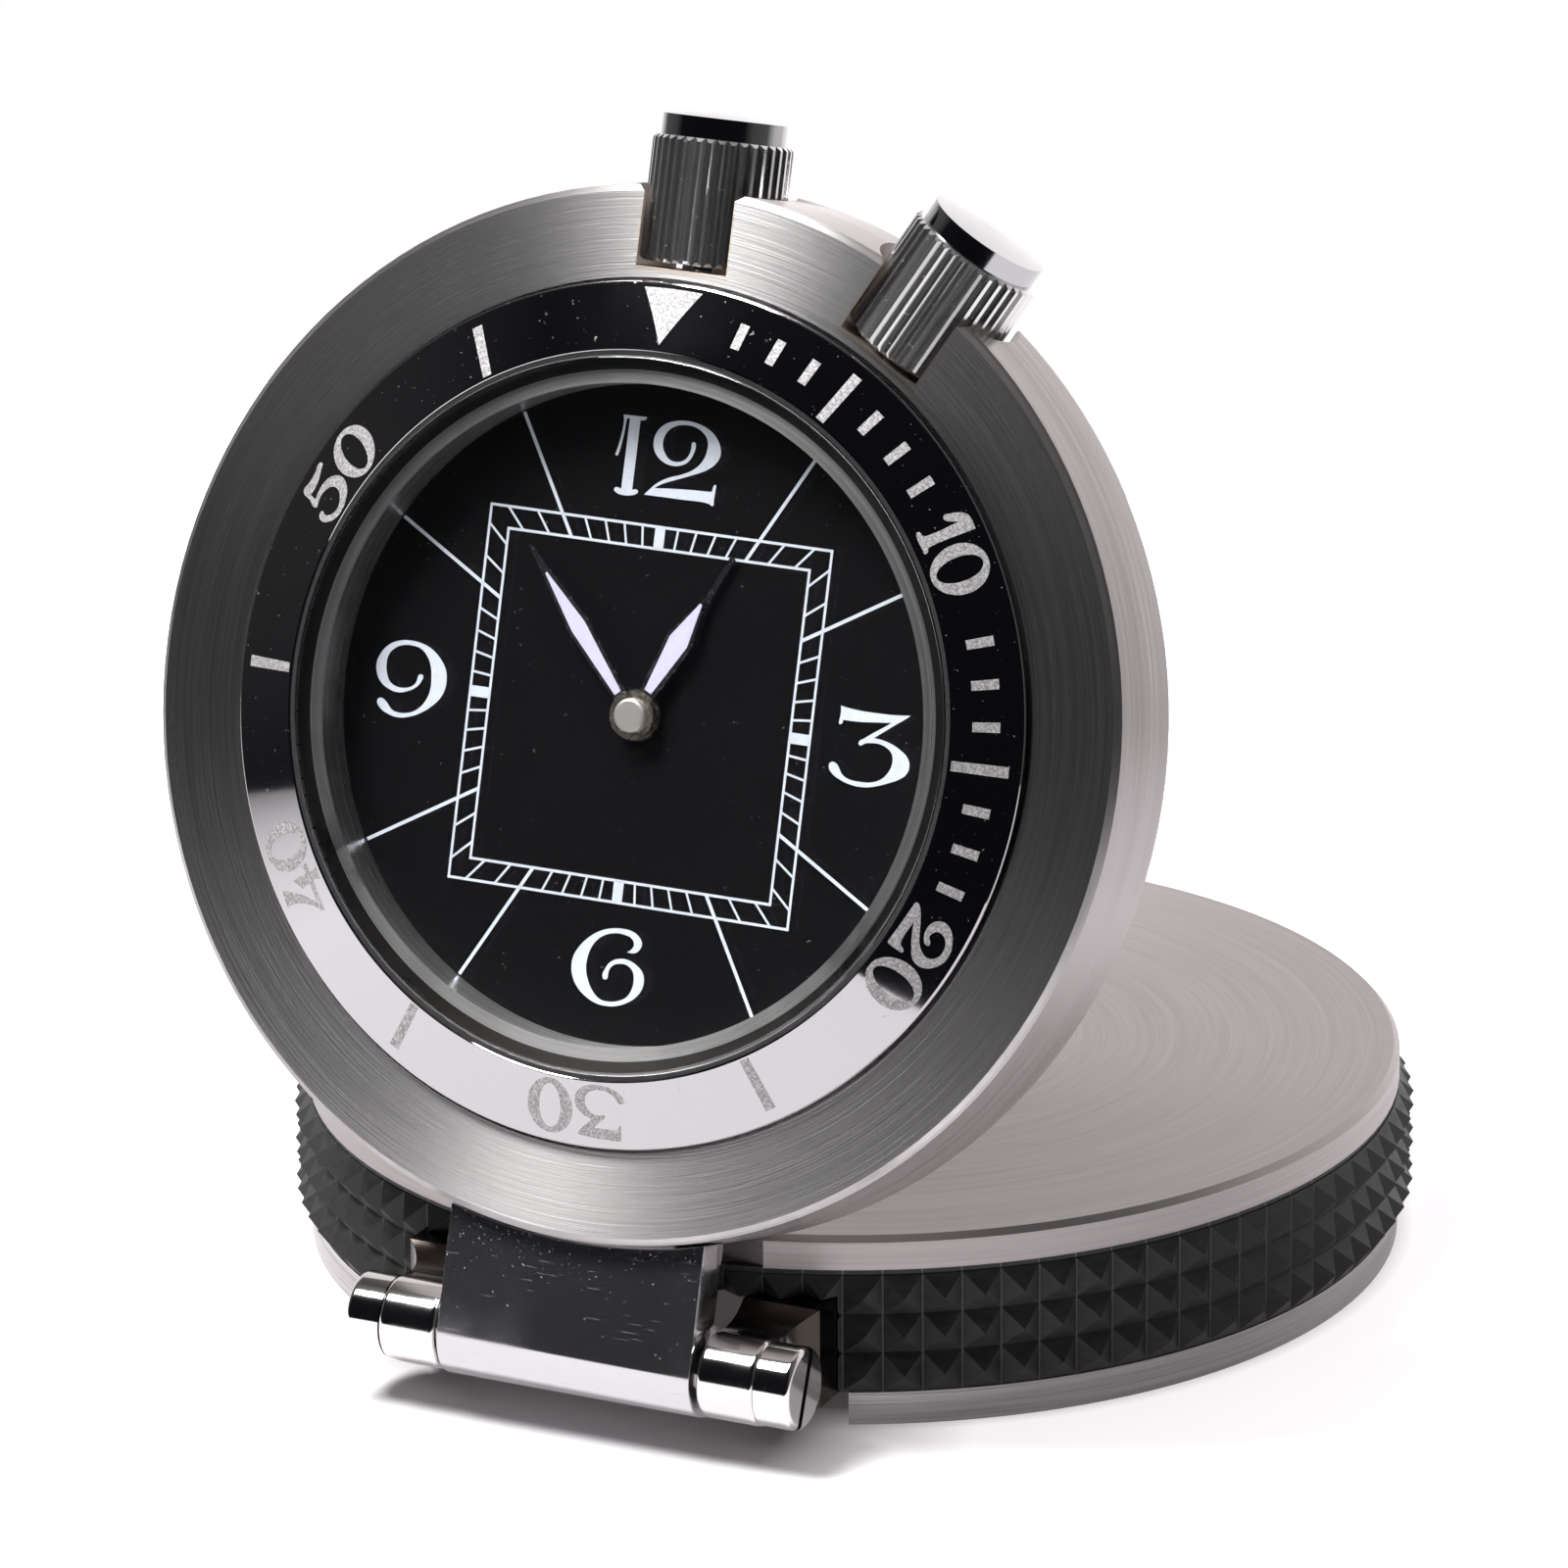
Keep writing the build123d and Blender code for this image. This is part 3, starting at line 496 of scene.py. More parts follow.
printFinish = mattePaint("dial_white_print", (0.58, 0.62, 0.69), 0.5, 0.04)
lumeFinish = mattePaint("hand_lume", (0.52, 0.50, 0.66), 0.55, 0.03, bump=0.3)
gasketFinish = mattePaint("gasket_plastic", (0.03, 0.03, 0.032), 0.4, 0.1)
backGasketFinish = mattePaint("back_gasket_rubber", (0.03, 0.03, 0.03), 0.6, 0.2)
holderFinish = mattePaint("holder_plastic", (0.10, 0.10, 0.105), 0.5, 0.1)

nodeFinishes = {
    "cover_plate": plateSteel, "cover_ring": rimSteel, "studded_band": rubberFinish,
    "hinge_lug_left": lugFinish, "hinge_lug_right": lugFinish, "lug_screws": polished, "hinge_pin": polished,
    "hinge_screws": polished, "case": caseSteel, "case_back": caseSteel, "case_back_gasket": backGasketFinish,
    "case_back_screws": polished, "bezel_ring": mirrorSteel, "crystal": glassFinish, "crystal_gasket": gasketFinish,
    "flange_ring": flangeSteel, "dial": dialFinish, "movement_holder": holderFinish, "movement": movementFinish,
    "battery": polished, "buzzer_disc": brassFinish, "crown_tubes": polished, "hinge_leaf": leafFinish,
    "leaf_screws": polished, "minute_hand": handFinish, "hand_cap": handCapSteel, "minute_arbor": polished,
    "hour_hand": handFinish, "hour_wheel": brassFinish, "alarm_hand": handFinish, "alarm_wheel": brassFinish,
    "time_stem": polished, "time_crown": crownSteel, "time_crown_cap": crownCapSteel, "alarm_stem": polished,
    "alarm_crown": crownSteel, "alarm_crown_cap": crownCapSteel,
}
for nodeName, material in nodeFinishes.items():
    materials = nodes[nodeName].data.materials
    materials.clear()
    materials.append(material)
print("finishes on", len(nodeFinishes), "nodes")

# Heights of the pieces of the head are distances from the case's middle, as in the head's own axes.
crystal = {"radius": 20.15, "seat": 4.45, "top": 5.65, "bevel": 0.22, "steps": 256}


def buildCrystal():
    look = crystal
    form = bmesh.new()
    thickness = look["top"] - look["seat"]
    bmesh.ops.create_cone(form, cap_ends=True, segments=look["steps"], radius1=look["radius"], radius2=look["radius"],
                          depth=thickness)
    rim = [edge for edge in form.edges if all(vert.co.z > 0 for vert in edge.verts)]
    bmesh.ops.bevel(form, geom=rim, offset=look["bevel"], segments=4, profile=0.5, affect="EDGES", material=-1)
    for face in form.faces:
        face.smooth = len(face.verts) == 4  # only the two flat faces have more corners
    place = headMatrix @ Matrix.Translation((0, 0, look["seat"] + thickness / 2))
    standIn("crystal_disc", closedMesh(form, "crystal_disc"), place, "head", glassFinish, "crystal")


bezel = {"inner": 20.4, "outer": 24.35, "step": 21.6, "innerTop": 5.55, "outerTop": 4.15, "seat": 4.45, "floor": 2.55,
         "bevel": 0.13, "steps": 360, "sharp": 10, "tolerance": 0.001}


def atHeight(edge, height):
    return all(abs(vert.co.z - height) < bezel["tolerance"] for vert in edge.verts)


def buildBezel():
    look = bezel
    form = bmesh.new()
    corners = ((look["step"], look["floor"]), (look["outer"], look["floor"]), (look["outer"], look["outerTop"]),
               (look["inner"], look["innerTop"]), (look["inner"], look["seat"]), (look["step"], look["seat"]))
    verts = [form.verts.new((radius, 0, height)) for radius, height in corners]
    edges = [form.edges.new((first, second)) for first, second in zip(verts, verts[1:] + verts[:1])]
    bmesh.ops.spin(form, geom=verts + edges, cent=(0, 0, 0), axis=(0, 0, 1), angle=2 * pi, steps=look["steps"],
                   use_merge=True)
    bmesh.ops.recalc_face_normals(form, faces=form.faces)
    tops = (look["outerTop"], look["innerTop"])
    rims = [edge for edge in form.edges if any(atHeight(edge, top) for top in tops)]
    bmesh.ops.bevel(form, geom=rims, offset=look["bevel"], segments=3, profile=0.5, affect="EDGES", material=-1)
    for face in form.faces:
        face.smooth = True
    mesh = closedMesh(form, "bezel_polished")
    mesh.set_sharp_from_angle(angle=radians(look["sharp"]))
    standIn("bezel_polished", mesh, headMatrix, "head", mirrorSteel, "bezel_ring")


# Angles in degrees: below flat two faces are one, above edge an edge is broken, above sharp it stays crisp.
leaf = {"bevel": 0.16, "merge": 0.001, "flat": 1, "edge": 40, "sharp": 35}


def buildLeaf():
    # The node's own shape with its edges broken by hand polish.
    look = leaf
    form = bmesh.new()
    form.from_mesh(nodes["hinge_leaf"].data)
    bmesh.ops.remove_doubles(form, verts=form.verts, dist=look["merge"] * mm)
    bmesh.ops.dissolve_limit(form, angle_limit=radians(look["flat"]), verts=form.verts, edges=form.edges)
    edges = [edge for edge in form.edges if len(edge.link_faces) == 2]
    edges = [edge for edge in edges if edge.calc_face_angle(0) > radians(look["edge"])]
    bmesh.ops.bevel(form, geom=edges, offset=look["bevel"] * mm, segments=2, profile=0.5, affect="EDGES", material=-1,
                    clamp_overlap=True)
    for face in form.faces:
        face.smooth = True
    mesh = closedMesh(form, "hinge_leaf_polished")
    mesh.set_sharp_from_angle(angle=radians(look["sharp"]))
    standIn("hinge_leaf_polished", mesh, Matrix.Identity(4), "head", leafFinish, "hinge_leaf")


buildCrystal()
buildBezel()
buildLeaf()
print("crystal, bezel ring and hinge leaf made")

# Each outline is a closed run of points, x across and y up, in millimetres. A point that ends in c is a corner.
dialDigits = {
    "one": "-3.08,16.62c -1.62,16.65c -1.68,16.5 -2.0,16.42c -2.02,12.5c -1.7,12.52 -1.66,12.36 -3.1,12.3 "
           "-3.08,12.5 -2.7,12.48c -2.66,16.42c -2.8,16.47c -2.84,16.4 -2.93,15.4 -3.12,14.4 -3.17,14.3 "
           "-3.3,14.33 -3.28,14.45 -3.1,15.3 -3.02,16.3",
    "two": "1.58,15.45 1.5,14.95 1.2,14.45 0.75,14.2 0.35,14.14 -0.1,14.2 -0.65,14.5 -0.97,14.95 -1.03,15.4 "
           "-0.9,15.9 -0.5,16.35 0.1,16.62 0.85,16.73 1.6,16.65 2.3,16.4 2.85,15.95 3.13,15.4 3.15,15.0 "
           "2.95,14.6 2.5,14.2 1.6,13.77 0.6,13.38 -0.3,13.0 -0.66,12.76c 1.0,12.9 2.88,12.98c 2.93,13.2 "
           "2.98,13.38c 3.12,13.4c 3.1,12.95 3.08,12.6 3.1,12.25c 3.0,12.2 2.8,12.3 0.9,12.33 -1.25,12.32c "
           "-0.95,12.65 -0.6,13.0 0.1,13.42 1.0,13.75 1.7,14.15 2.15,14.7 2.3,15.2 2.28,15.75 2.0,16.15 "
           "1.5,16.42 0.85,16.5 0.2,16.35 -0.25,16.0 -0.45,15.5 -0.42,15.1 -0.2,14.7 0.1,14.45 0.5,14.38 "
           "0.95,14.52 1.2,14.8 1.32,15.2 1.33,15.5 1.4,15.6 1.52,15.58",
    "three": "12.28,2.2c 12.6,2.15 13.5,2.07 14.5,2.07 15.6,2.1 16.55,2.2c 16.3,2.0 15.6,1.5 14.5,0.68c "
             "15.0,0.63 15.6,0.48 16.2,0.2 16.65,-0.15 16.83,-0.6 16.7,-1.05 16.3,-1.4 15.7,-1.68 15.0,-1.95 "
             "14.2,-2.12 13.4,-2.08 12.7,-1.88 12.2,-1.6 11.97,-1.25 12.05,-1.02 12.35,-1.0 12.6,-1.25 "
             "12.8,-1.55 13.2,-1.78 13.9,-1.85 14.6,-1.8 15.2,-1.55 15.6,-1.1 15.77,-0.6 15.7,-0.1 15.4,0.2 "
             "14.9,0.38 14.4,0.38 14.0,0.3 13.78,0.17 13.65,0.18 13.62,0.35 13.9,0.57 14.5,1.0 15.1,1.4 "
             "15.45,1.65c 14.5,1.55 13.5,1.45 12.5,1.43c 12.48,1.25 12.3,1.18 12.28,1.35 12.32,1.75",
    "six": "1.0,-13.3c 1.5,-13.28 1.8,-13.0 1.87,-12.7 1.65,-12.35 1.2,-12.1 0.6,-12.03 0.0,-12.08 -0.7,-12.3 "
           "-1.4,-12.75 -1.95,-13.35 -2.28,-14.0 -2.33,-14.5 -2.2,-15.1 -1.8,-15.7 -1.2,-16.15 -0.5,-16.43 "
           "0.1,-16.48 0.7,-16.4 1.4,-16.1 1.9,-15.7 2.2,-15.2 2.25,-14.7 2.1,-14.3 1.7,-13.95 1.15,-13.73 "
           "0.6,-13.73 0.1,-13.95 -0.2,-14.35 -0.3,-14.95 -0.1,-15.0 -0.02,-14.9 0.02,-14.5 0.25,-14.15 "
           "0.7,-14.0 1.15,-14.05 1.5,-14.35 1.62,-14.8 1.55,-15.35 1.3,-15.8 0.8,-16.1 0.2,-16.22 "
           "-0.35,-16.15 -0.85,-15.75 -1.2,-15.2 -1.4,-14.6 -1.4,-14.0 -1.25,-13.4 -0.9,-12.85 -0.4,-12.5 "
           "0.2,-12.33 0.75,-12.35 1.2,-12.5 1.38,-12.8 1.3,-13.05",
    "nine": "-16.4,-1.35 -16.25,-1.18 -15.98,-1.22 -15.7,-1.45 -15.4,-1.75 -15.0,-1.85 -14.4,-1.8 "
            "-13.85,-1.55 -13.4,-1.05 -13.15,-0.4 -13.15,0.4 -13.3,1.1 -13.6,1.6 -14.0,1.92 -14.6,2.03 "
            "-15.2,1.97 -15.7,1.7 -16.0,1.3 -16.07,0.8 -15.97,0.25 -15.7,-0.2 -15.3,-0.4 -14.8,-0.42 "
            "-14.3,-0.25 -14.05,0.05 -13.97,0.4 -13.85,0.48 -13.68,0.42 -13.75,0.1 -14.0,-0.25 -14.5,-0.55 "
            "-15.1,-0.72 -15.8,-0.58 -16.35,-0.22 -16.65,0.3 -16.7,0.8 -16.5,1.35 -16.1,1.85 -15.5,2.18 "
            "-14.7,2.3 -14.0,2.23 -13.3,1.98 -12.7,1.5 -12.3,0.95 -12.18,0.4 -12.2,-0.1 -12.45,-0.7 "
            "-12.9,-1.2 -13.5,-1.65 -14.2,-1.98 -15.0,-2.13 -15.6,-2.02 -16.15,-1.75",
}

# The bezel's first digits, unrolled along the ring from each numeral's middle. The second digit is an oval with a hole.
bezelDigits = {
    10: {"middle": 22.24, "nought": 0.45, "points":
         "-2.18,23.68 -1.94,23.79 -1.27,23.79c -1.39,21.32 -1.35,21.14 -1.12,21 -1.1,20.85 -1.35,20.82 "
         "-2.35,20.86 -2.48,20.95 -2.44,21.06 -2.12,21.18 -2.03,21.5 -1.98,23.14c -2.35,22.55 -2.48,22.5 "
         "-2.65,22.61 -2.62,22.82"},
    20: {"middle": 21.99, "nought": 1.5, "points":
         "-1.57,23.53 -2.16,23.36 -2.71,23 -2.96,22.55 -2.85,22.14 -2.53,21.88 -2.03,21.82 -1.62,21.95 "
         "-1.36,22.21 -1.42,22.36 -1.62,22.32 -1.85,22.15 -2.07,22.18 -2.3,22.36 -2.33,22.64 -2.12,22.95 "
         "-1.75,23.12 -1.35,23.14 -0.98,22.97 -0.8,22.68 -0.85,22.36 -1.16,21.95 -1.71,21.64 -2.44,21.32 "
         "-2.98,21.05 -3.25,20.82 -3.24,20.68 -2.89,20.61 -1.98,20.53 -0.35,20.43c -0.27,20.5 -0.21,21.36c "
         "-0.36,21.41 -0.62,21.09 -1.07,21 -2.16,21.06c -1.53,21.27 -0.8,21.64 -0.3,22 -0.15,22.36 "
         "-0.21,22.77 -0.53,23.18 -0.98,23.45"},
    30: {"middle": 22.26, "nought": 1.48, "points":
         "-2.73,23.85c -0.3,23.66c -0.25,23.54 -1.11,22.66c -0.62,22.45 -0.21,22.05 -0.12,21.64 -0.25,21.23 "
         "-0.71,20.86 -1.35,20.68 -1.98,20.7 -2.62,20.86 -3.07,21.14 -3.28,21.45 -3.25,21.66 -3.03,21.71 "
         "-2.82,21.55 -2.66,21.27 -2.3,21.05 -1.85,20.95 -1.35,21 -0.94,21.23 -0.78,21.55 -0.82,21.95 "
         "-1.07,22.27 -1.44,22.41 -1.94,22.36c -1.95,22.48 -1.62,22.77 -1.21,23.14c -2.57,23.23c -2.75,22.94c "
         "-2.86,22.94c"},
    40: {"middle": 22.13, "nought": 1.11, "points":
         "-1.95,23.7c -0.94,23.61c -1.03,23.45 -1.35,22.95 -1.8,22.32 -2.69,21.55c -1.48,21.43c -1.45,21.86 "
         "-1.51,22.09c -0.8,22.53c -0.82,21.95 -0.85,21.41c -0.57,21.43 -0.36,21.59c -0.29,21.12c "
         "-0.87,21.14c -0.91,20.86 -0.82,20.55c -1.62,20.61c -1.45,20.82 -1.42,21.14c -3.25,21.3c -3.28,21.41 "
         "-2.8,21.82 -2.25,22.5 -1.94,23.23 -1.91,23.57"},
    50: {"middle": 22.24, "nought": 1.73, "points":
         "-1.94,23.75 -1.48,23.66 -0.8,23.68 -0.27,23.79 -0.16,23.61 -0.48,23.41 -0.98,23.18 -1.53,23.09 "
         "-1.91,23.12c -1.94,22.66c -1.44,22.75 -0.8,22.73 -0.25,22.5 0.11,22.05 0.15,21.64 -0.07,21.14 "
         "-0.62,20.77 -1.25,20.61 -1.89,20.68 -2.39,21 -2.66,21.41 -2.62,21.73 -2.35,21.88 -2.15,21.77 "
         "-2.24,21.55 -2.12,21.27 -1.85,21.05 -1.35,20.95 -0.85,21.18 -0.57,21.59 -0.66,22.05 -1.07,22.34 "
         "-1.62,22.43 -2.21,22.27c -2.33,22.45 -2.16,23.05 -2.12,23.59"},
}


def readPoints(words, rise=0):
    points = []
    for word in words.split():
        x, y = (float(number) for number in word.rstrip("c").split(","))
        points.append((x, y + rise, word.endswith("c")))
    return points


def oval(x, y, halfWidth, halfHeight):
    angles = [pi / 6 * step for step in range(12)]
    return [(x + halfWidth * cos(angle), y + halfHeight * sin(angle), False) for angle in angles]


def filledForm(outlines):
    # A flat filled curve, smooth but for its corners, as a bmesh.
    curve = bpy.data.curves.new("outlines", "CURVE")
    curve.dimensions = "2D"
    curve.fill_mode = "BOTH"
    curve.resolution_u = 5
    for outline in outlines:
        spline = curve.splines.new("BEZIER")
        spline.bezier_points.add(len(outline) - 1)
        spline.use_cyclic_u = True
        for point, (x, y, corner) in zip(spline.bezier_points, outline):
            point.co = (x, y, 0)
            point.handle_left_type = point.handle_right_type = "VECTOR" if corner else "AUTO"
    holder = bpy.data.objects.new("outlines", curve)
    link(holder)
    bpy.context.view_layer.update()
    mesh = bpy.data.meshes.new_from_object(holder.evaluated_get(bpy.context.evaluated_depsgraph_get()))
    form = bmesh.new()
    form.from_mesh(mesh)
    bpy.data.objects.remove(holder)
    bpy.data.curves.remove(curve)
    bpy.data.meshes.remove(mesh)
    return form


def addStrip(form, start, end, width):
    # A flat bar between two points.
    made = bmesh.ops.create_grid(form, x_segments=1, y_segments=1, size=0.5)["verts"]
    start, end = Vector((*start, 0)), Vector((*end, 0))
    run = end - start
    bmesh.ops.scale(form, vec=(run.length, width, 1), verts=made)
    bmesh.ops.rotate(form, matrix=Matrix.Rotation(atan2(run.y, run.x), 3, "Z"), verts=made)
    bmesh.ops.translate(form, vec=(start + end) / 2, verts=made)


def faceUp(form):
    # Flat marks all look out of the dial.
    form.normal_update()
    bmesh.ops.reverse_faces(form, faces=[face for face in form.faces if face.normal.z < 0])


def atMinute(minute, radius):
    angle = radians(6 * minute)
    return (radius * sin(angle), radius * cos(angle))


dialPrint = {"height": 1.8, "lift": 0.012, "outerSquare": 10.63, "innerSquare": 9.4, "lineWidth": 0.15,
             "tickWidth": 0.13, "blockWidth": 0.62, "hourLineEnd": 18.5, "hourLineWidth": 0.2}


def buildDialPrint():
    look = dialPrint
    form = bmesh.new()
    for half in (look["outerSquare"], look["innerSquare"]):
        reach = half + look["lineWidth"] / 2
        for side in (-half, half):
            addStrip(form, (-reach, side), (reach, side), look["lineWidth"])
            addStrip(form, (side, look["lineWidth"] - reach), (side, reach - look["lineWidth"]), look["lineWidth"])
    for minute in range(60):
        angle = radians(6 * minute)
        across = max(abs(sin(angle)), abs(cos(angle)))
        inner, outer = look["innerSquare"] / across, look["outerSquare"] / across
        width = look["tickWidth"]
        if minute % 15 == 0:
            width = look["blockWidth"]
        elif minute % 5 == 0:
            width, outer = look["hourLineWidth"], look["hourLineEnd"]
        addStrip(form, atMinute(minute, inner), atMinute(minute, outer), width)
    faceUp(form)
    place = headMatrix @ Matrix.Translation((0, 0, look["height"] + look["lift"]))
    addPiece("dial_lines", toMesh(form, "dial_lines"), place, "head", printFinish)
    place = place @ Matrix.Translation((0, 0, look["lift"]))  # just above the lines
    for digit, words in dialDigits.items():
        name = "dial_digit_" + digit
        form = filledForm([readPoints(words)])
        faceUp(form)
        addPiece(name, toMesh(form, name), place, "head", printFinish)


# Single minutes have ticks only in the first twenty, and none beside the triangle or a numeral.
bezelMarks = {"lift": 0.008, "middle": 22.28, "barInner": 20.63, "barOuter": 23.66, "barWidth": 0.6,
              "bars": (5, 15, 25, 35, 45, 55), "tickInner": 21.6, "tickOuter": 23.05, "tickWidth": 0.55,
              "ticks": (2, 3, 4, 6, 7, 8, 12, 13, 14, 16, 17, 18), "triangleTop": 24.0, "triangleHalf": 1.67,
              "triangleTip": 20.83, "noughtOuter": (1.41, 1.58), "noughtInner": (0.68, 1.28),
              "cuts": 15, "firstCut": -3.15, "cutStep": 0.45}


def bezelMark(minute):
    # One flat mark, with x along the ring and y as the distance from its middle.
    look = bezelMarks
    if minute in bezelDigits:
        digit = bezelDigits[minute]
        nought = (digit["nought"], look["middle"])
        return filledForm([readPoints(digit["points"], look["middle"] - digit["middle"]),
                           oval(*nought, *look["noughtOuter"]), oval(*nought, *look["noughtInner"])])
    form = bmesh.new()
    if minute in look["bars"]:
        addStrip(form, (0, look["barInner"]), (0, look["barOuter"]), look["barWidth"])
    elif minute in look["ticks"]:
        addStrip(form, (0, look["tickInner"]), (0, look["tickOuter"]), look["tickWidth"])
    else:
        half, top = look["triangleHalf"], look["triangleTop"]
        corners = ((-half, top), (0, look["triangleTip"]), (half, top))
        form.faces.new([form.verts.new((x, y, 0)) for x, y in corners])
    return form


def wrapOnBezel(form, minute):
    # Cuts a flat mark across the ring's run and bends it onto the ring's slope.
    look = bezelMarks
    for cut in range(look["cuts"]):
        bmesh.ops.bisect_plane(form, geom=form.verts[:] + form.edges[:] + form.faces[:], dist=1e-5,
                               plane_co=(look["firstCut"] + cut * look["cutStep"], 0, 0), plane_no=(1, 0, 0))
    slope = (bezel["outerTop"] - bezel["innerTop"]) / (bezel["outer"] - bezel["inner"])
    for vert in form.verts:
        x, radius, _ = vert.co
        angle = radians(6 * minute) + x / look["middle"]
        height = bezel["innerTop"] + (radius - bezel["inner"]) * slope + look["lift"]
        vert.co = (radius * sin(angle), radius * cos(angle), height)
    faceUp(form)


def buildBezelMarks():
    whole = bmesh.new()
    for minute in sorted((0, *bezelMarks["bars"], *bezelMarks["ticks"], *bezelDigits)):
        form = bezelMark(minute)
        wrapOnBezel(form, minute)
        mesh = toMesh(form, "mark")
        whole.from_mesh(mesh)
        bpy.data.meshes.remove(mesh)
    addPiece("bezel_marks", toMesh(whole, "bezel_marks"), headMatrix, "head", marksFinish)


# Half widths along each hand's light inlay, from its root to its tip.
inlays = {
    "minute": {"body": "minute_set", "angle": -40.8, "height": 2.77, "thickness": 0.03,
               "outline": ((1.5, 0.22), (6.0, 0.48), (9.6, 0.06))},
    "hour": {"body": "hour_set", "angle": 26.6, "height": 2.48, "thickness": 0.03,
             "outline": ((1.6, 0.24), (5.0, 0.62), (7.5, 0.07))},
}


def buildInlays():
    for name, look in inlays.items():
        form = bmesh.new()
        right = [form.verts.new((half, y, 0)) for y, half in look["outline"]]
        left = [form.verts.new((-half, y, 0)) for y, half in look["outline"]]
        for low in range(len(right) - 1):
            form.faces.new((right[low], right[low + 1], left[low + 1], left[low]))
        raised = bmesh.ops.extrude_face_region(form, geom=form.faces[:])["geom"]
        raised = [part for part in raised if isinstance(part, bmesh.types.BMVert)]
        bmesh.ops.translate(form, vec=(0, 0, look["thickness"]), verts=raised)
        turn = Matrix.Rotation(-radians(look["angle"]), 4, "Z")
        place = headMatrix @ turn @ Matrix.Translation((0, 0, look["height"]))
        addPiece(name + "_hand_inlay", closedMesh(form, name + "_inlay"), place, look["body"], lumeFinish)


buildDialPrint()
buildBezelMarks()
buildInlays()
print("dial print, bezel marks and inlays made")

# In metres, but for the values in dim and under, which are in millimetres.
# dim and under mark where the floor's glow fades, a painted shadow round the hinge and under the cover.
floorLook = {"left": -0.385, "fade": 0.28, "right": 0.5, "front": -0.18, "back": 0.14, "color": (0.62, 0.61, 0.62),
             "edgeColor": (0.02, 0.02, 0.02), "glow": 0.95, "glowColor": (0.9, 0.87, 0.89), "reflectedGlow": 0.35,
             "roughness": 0.9, "specular": 0.1,
             "dim": {"place": (-2, -33, 0), "near": 13, "far": 24, "glow": 0.02}, "under": (30, 33.5)}


def floorFinish():
    look, dim = floorLook, floorLook["dim"]
    finish = Finish("pale_floor", look["color"], 0.0, look["roughness"])
    finish.set("Specular IOR Level", look["specular"])
    finish.set("Emission Color", (*look["glowColor"], 1))
    edge = finish.remap(finish.split(finish.position())[0], look["left"], look["left"] + look["fade"], 0.0, 1.0)
    finish.feed(finish.ramp(edge, ((0.0, look["edgeColor"]), (1.0, look["color"]))), "Base Color")
    # The floor glows, strongly to the camera and weakly in reflections. Round the hinge and under the cover the glow to
    # the camera fades out, a painted shadow.
    fromHinge = finish.vector("DISTANCE", finish.position(), Vector(dim["place"]) * mm, "Value")
    clear = finish.remap(fromHinge, dim["near"] * mm, dim["far"] * mm, dim["glow"], look["glow"])
    fromCover = finish.vector("DISTANCE", finish.position(), Vector(cover["centre"]) * mm, "Value")
    first, last = look["under"]
    outside = finish.remap(fromCover, first * mm, last * mm, 0.0, 1.0)
    glow = finish.node("ShaderNodeMix", data_type="FLOAT")
    finish.link(finish.node("ShaderNodeLightPath").outputs["Is Camera Ray"], glow.inputs[0])
    finish.link(finish.math("MULTIPLY", edge, look["reflectedGlow"]), glow.inputs[2])
    finish.link(finish.math("MULTIPLY", clear, outside), glow.inputs[3])
    finish.feed(glow.outputs[0], "Emission Strength")
    return finish.material


def buildFloor():
    look = floorLook
    form = bmesh.new()
    bmesh.ops.create_grid(form, x_segments=1, y_segments=1, size=0.5)
    bmesh.ops.scale(form, vec=(look["right"] - look["left"], look["back"] - look["front"], 1), verts=form.verts)
    middle = ((look["left"] + look["right"]) / 2, (look["front"] + look["back"]) / 2, 0)
    bmesh.ops.translate(form, vec=middle, verts=form.verts)
    mesh = toMesh(form, "floor")
    mesh.materials.append(floorFinish())
    floor = bpy.data.objects.new("floor", mesh)
    link(floor)


# Brightness of the room from behind the camera (0) to behind the clock (1), bluer where it is dark.
room = {"stops": ((0.0, 0.006), (0.27, 0.009), (0.4, 0.10), (0.5, 0.11),
                  (0.66, 0.14), (0.8, 0.85), (0.93, 0.95), (0.98, 1.5)),
        "green": 0.97, "blue": 0.975, "darkBlue": 1.25, "darkEnd": 0.4}


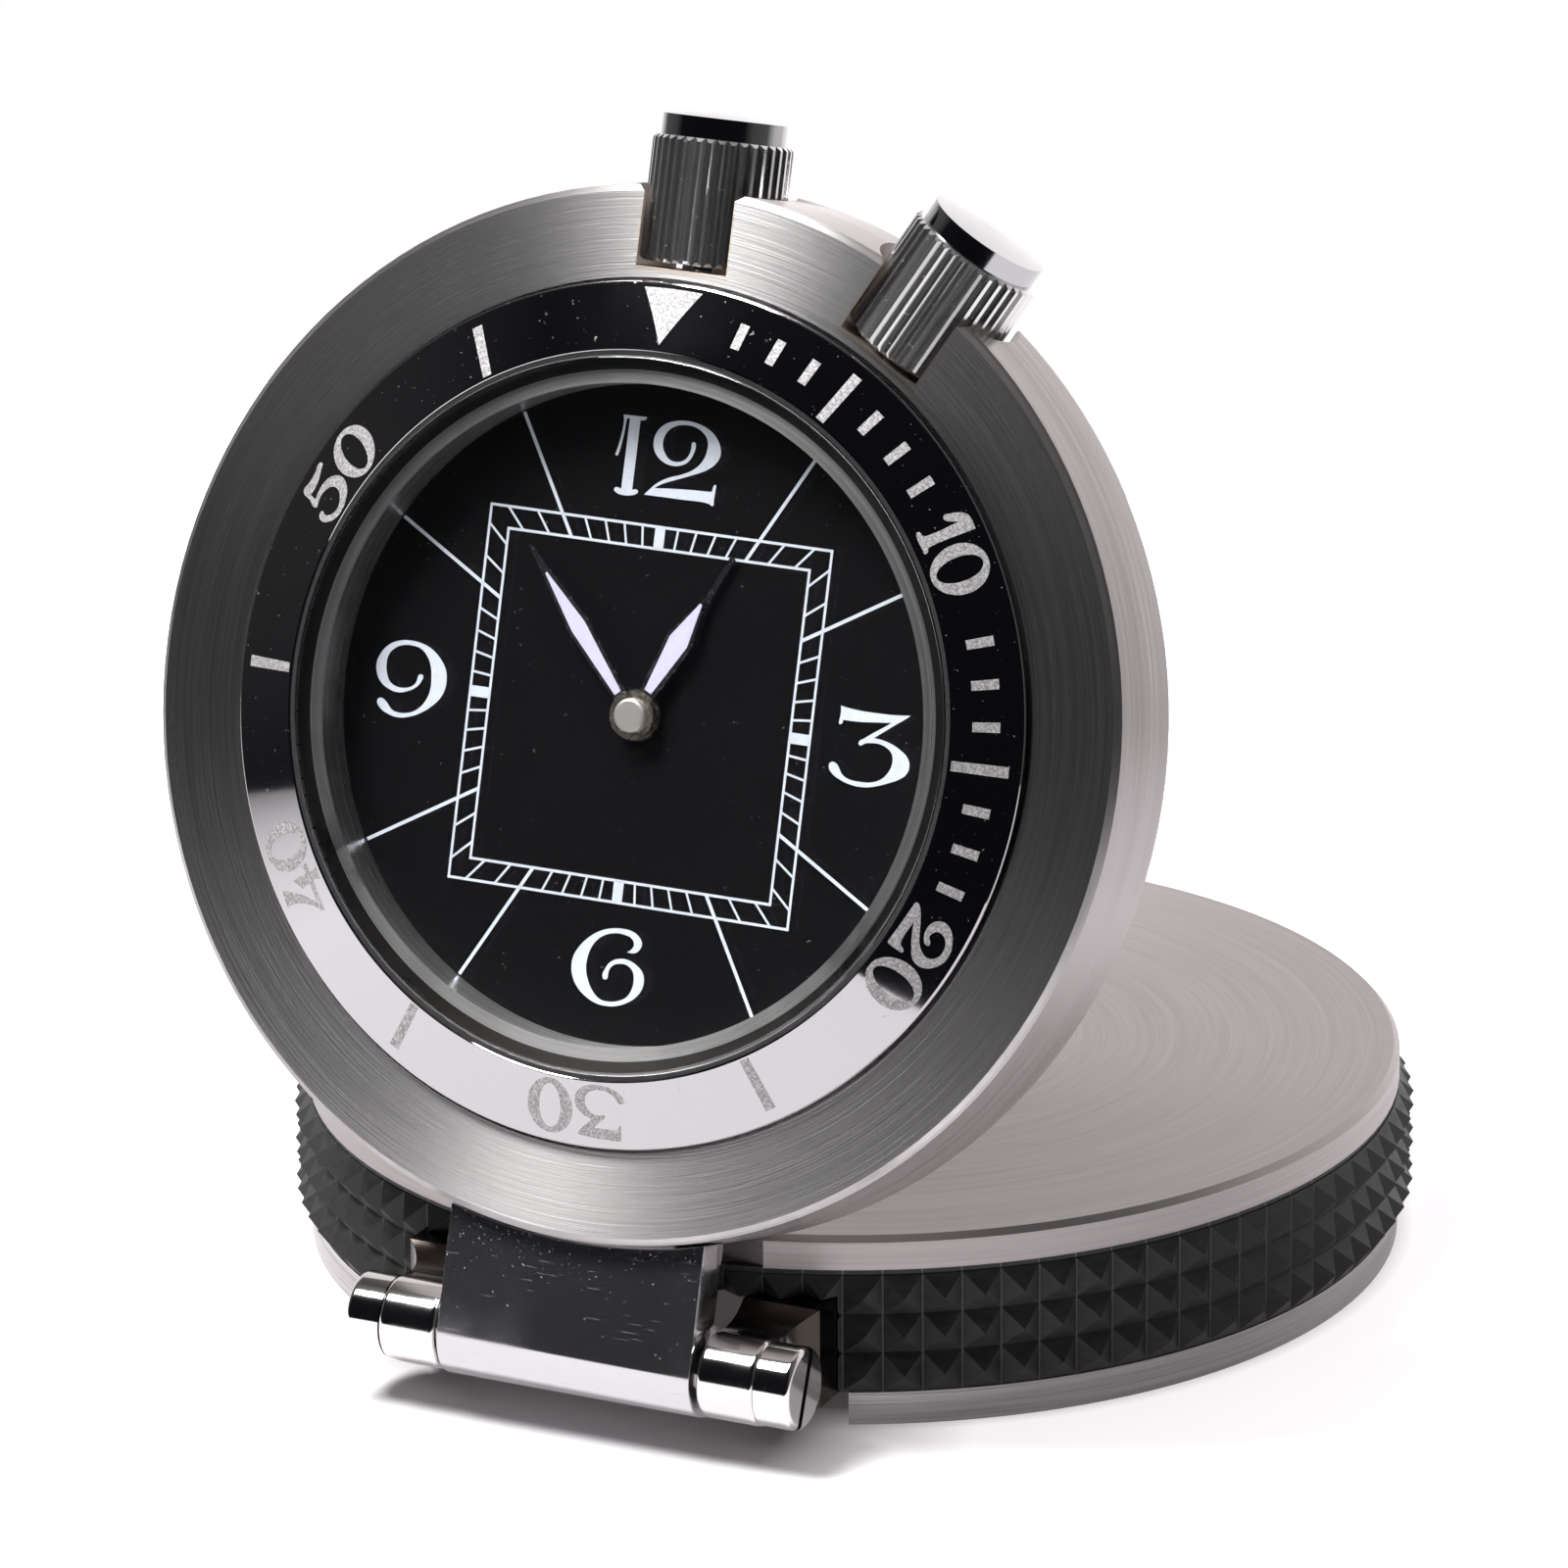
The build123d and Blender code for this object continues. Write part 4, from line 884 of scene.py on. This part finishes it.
def buildWorld():
    world = bpy.data.worlds.new("studio")
    bpy.context.scene.world = world
    world.use_nodes = True
    tree = world.node_tree
    tree.nodes.clear()
    direction = tree.nodes.new("ShaderNodeTexCoord")
    parts = tree.nodes.new("ShaderNodeSeparateXYZ")
    tree.links.new(direction.outputs["Generated"], parts.inputs[0])
    share = tree.nodes.new("ShaderNodeMath")  # from -1..1 to 0..1
    share.operation = "MULTIPLY_ADD"
    share.inputs[1].default_value = 0.5
    share.inputs[2].default_value = 0.5
    tree.links.new(parts.outputs["Y"], share.inputs[0])
    ramp = tree.nodes.new("ShaderNodeValToRGB")
    tree.links.new(share.outputs[0], ramp.inputs["Fac"])
    stops = []
    for place, value in room["stops"]:
        blue = room["darkBlue"] if place < room["darkEnd"] else room["blue"]
        stops.append((place, (value, value * room["green"], value * blue)))
    fillRamp(ramp.color_ramp, stops)
    walls = tree.nodes.new("ShaderNodeBackground")
    tree.links.new(ramp.outputs["Color"], walls.inputs["Color"])
    white = tree.nodes.new("ShaderNodeBackground")
    white.inputs["Color"].default_value = (1, 1, 1, 1)
    rays = tree.nodes.new("ShaderNodeLightPath")
    mix = tree.nodes.new("ShaderNodeMixShader")
    tree.links.new(rays.outputs["Is Camera Ray"], mix.inputs[0])
    tree.links.new(walls.outputs[0], mix.inputs[1])
    tree.links.new(white.outputs[0], mix.inputs[2])
    out = tree.nodes.new("ShaderNodeOutputWorld")
    tree.links.new(mix.outputs[0], out.inputs["Surface"])


# Places and sizes in metres, power in watts.
softbox = {"place": (-0.222, -0.20, 0.60), "aim": (0, -0.01, 0.03), "size": (0.17, 0.24), "power": 7.6}


def buildSoftbox():
    data = bpy.data.lights.new("softbox_above", "AREA")
    data.shape = "RECTANGLE"
    data.size, data.size_y = softbox["size"]
    data.energy = softbox["power"]
    lamp = bpy.data.objects.new("softbox_above", data)
    link(lamp)
    lamp.location = softbox["place"]
    away = Vector(softbox["place"]) - Vector(softbox["aim"])
    lamp.rotation_euler = away.to_track_quat("Z", "Y").to_euler()


# The photograph's camera: angles in degrees, target and distance in millimetres, focal length in its pixels.
view = {"azimuth": 25.684, "elevation": 19.223, "roll": -0.398, "distance": 553.3, "target": (0, -6.650, 30.170),
        "focalPixels": 9710, "picture": 1600, "sensor": 36, "clip": (0.02, 30)}


def buildCamera():
    azimuth, elevation, roll = (radians(view[angle]) for angle in ("azimuth", "elevation", "roll"))
    toCamera = Vector((sin(azimuth) * cos(elevation), -cos(azimuth) * cos(elevation), sin(elevation)))
    level = Vector((cos(azimuth), sin(azimuth), 0))
    upright = toCamera.cross(level)
    right = level * cos(roll) + upright * sin(roll)
    up = upright * cos(roll) - level * sin(roll)
    data = bpy.data.cameras.new("camera")
    data.sensor_width = view["sensor"]
    data.lens = view["focalPixels"] / view["picture"] * view["sensor"]
    data.clip_start, data.clip_end = view["clip"]
    camera = bpy.data.objects.new("camera", data)
    link(camera)
    turn = Matrix((right, up, toCamera)).transposed().to_4x4()
    camera.matrix_world = Matrix.Translation((Vector(view["target"]) + toCamera * view["distance"]) * mm) @ turn
    bpy.context.scene.camera = camera


buildFloor()
buildWorld()
buildSoftbox()
buildCamera()
bpy.context.scene.view_settings.view_transform = "Standard"
bpy.context.scene.view_settings.look = "None"
print("studio ready")
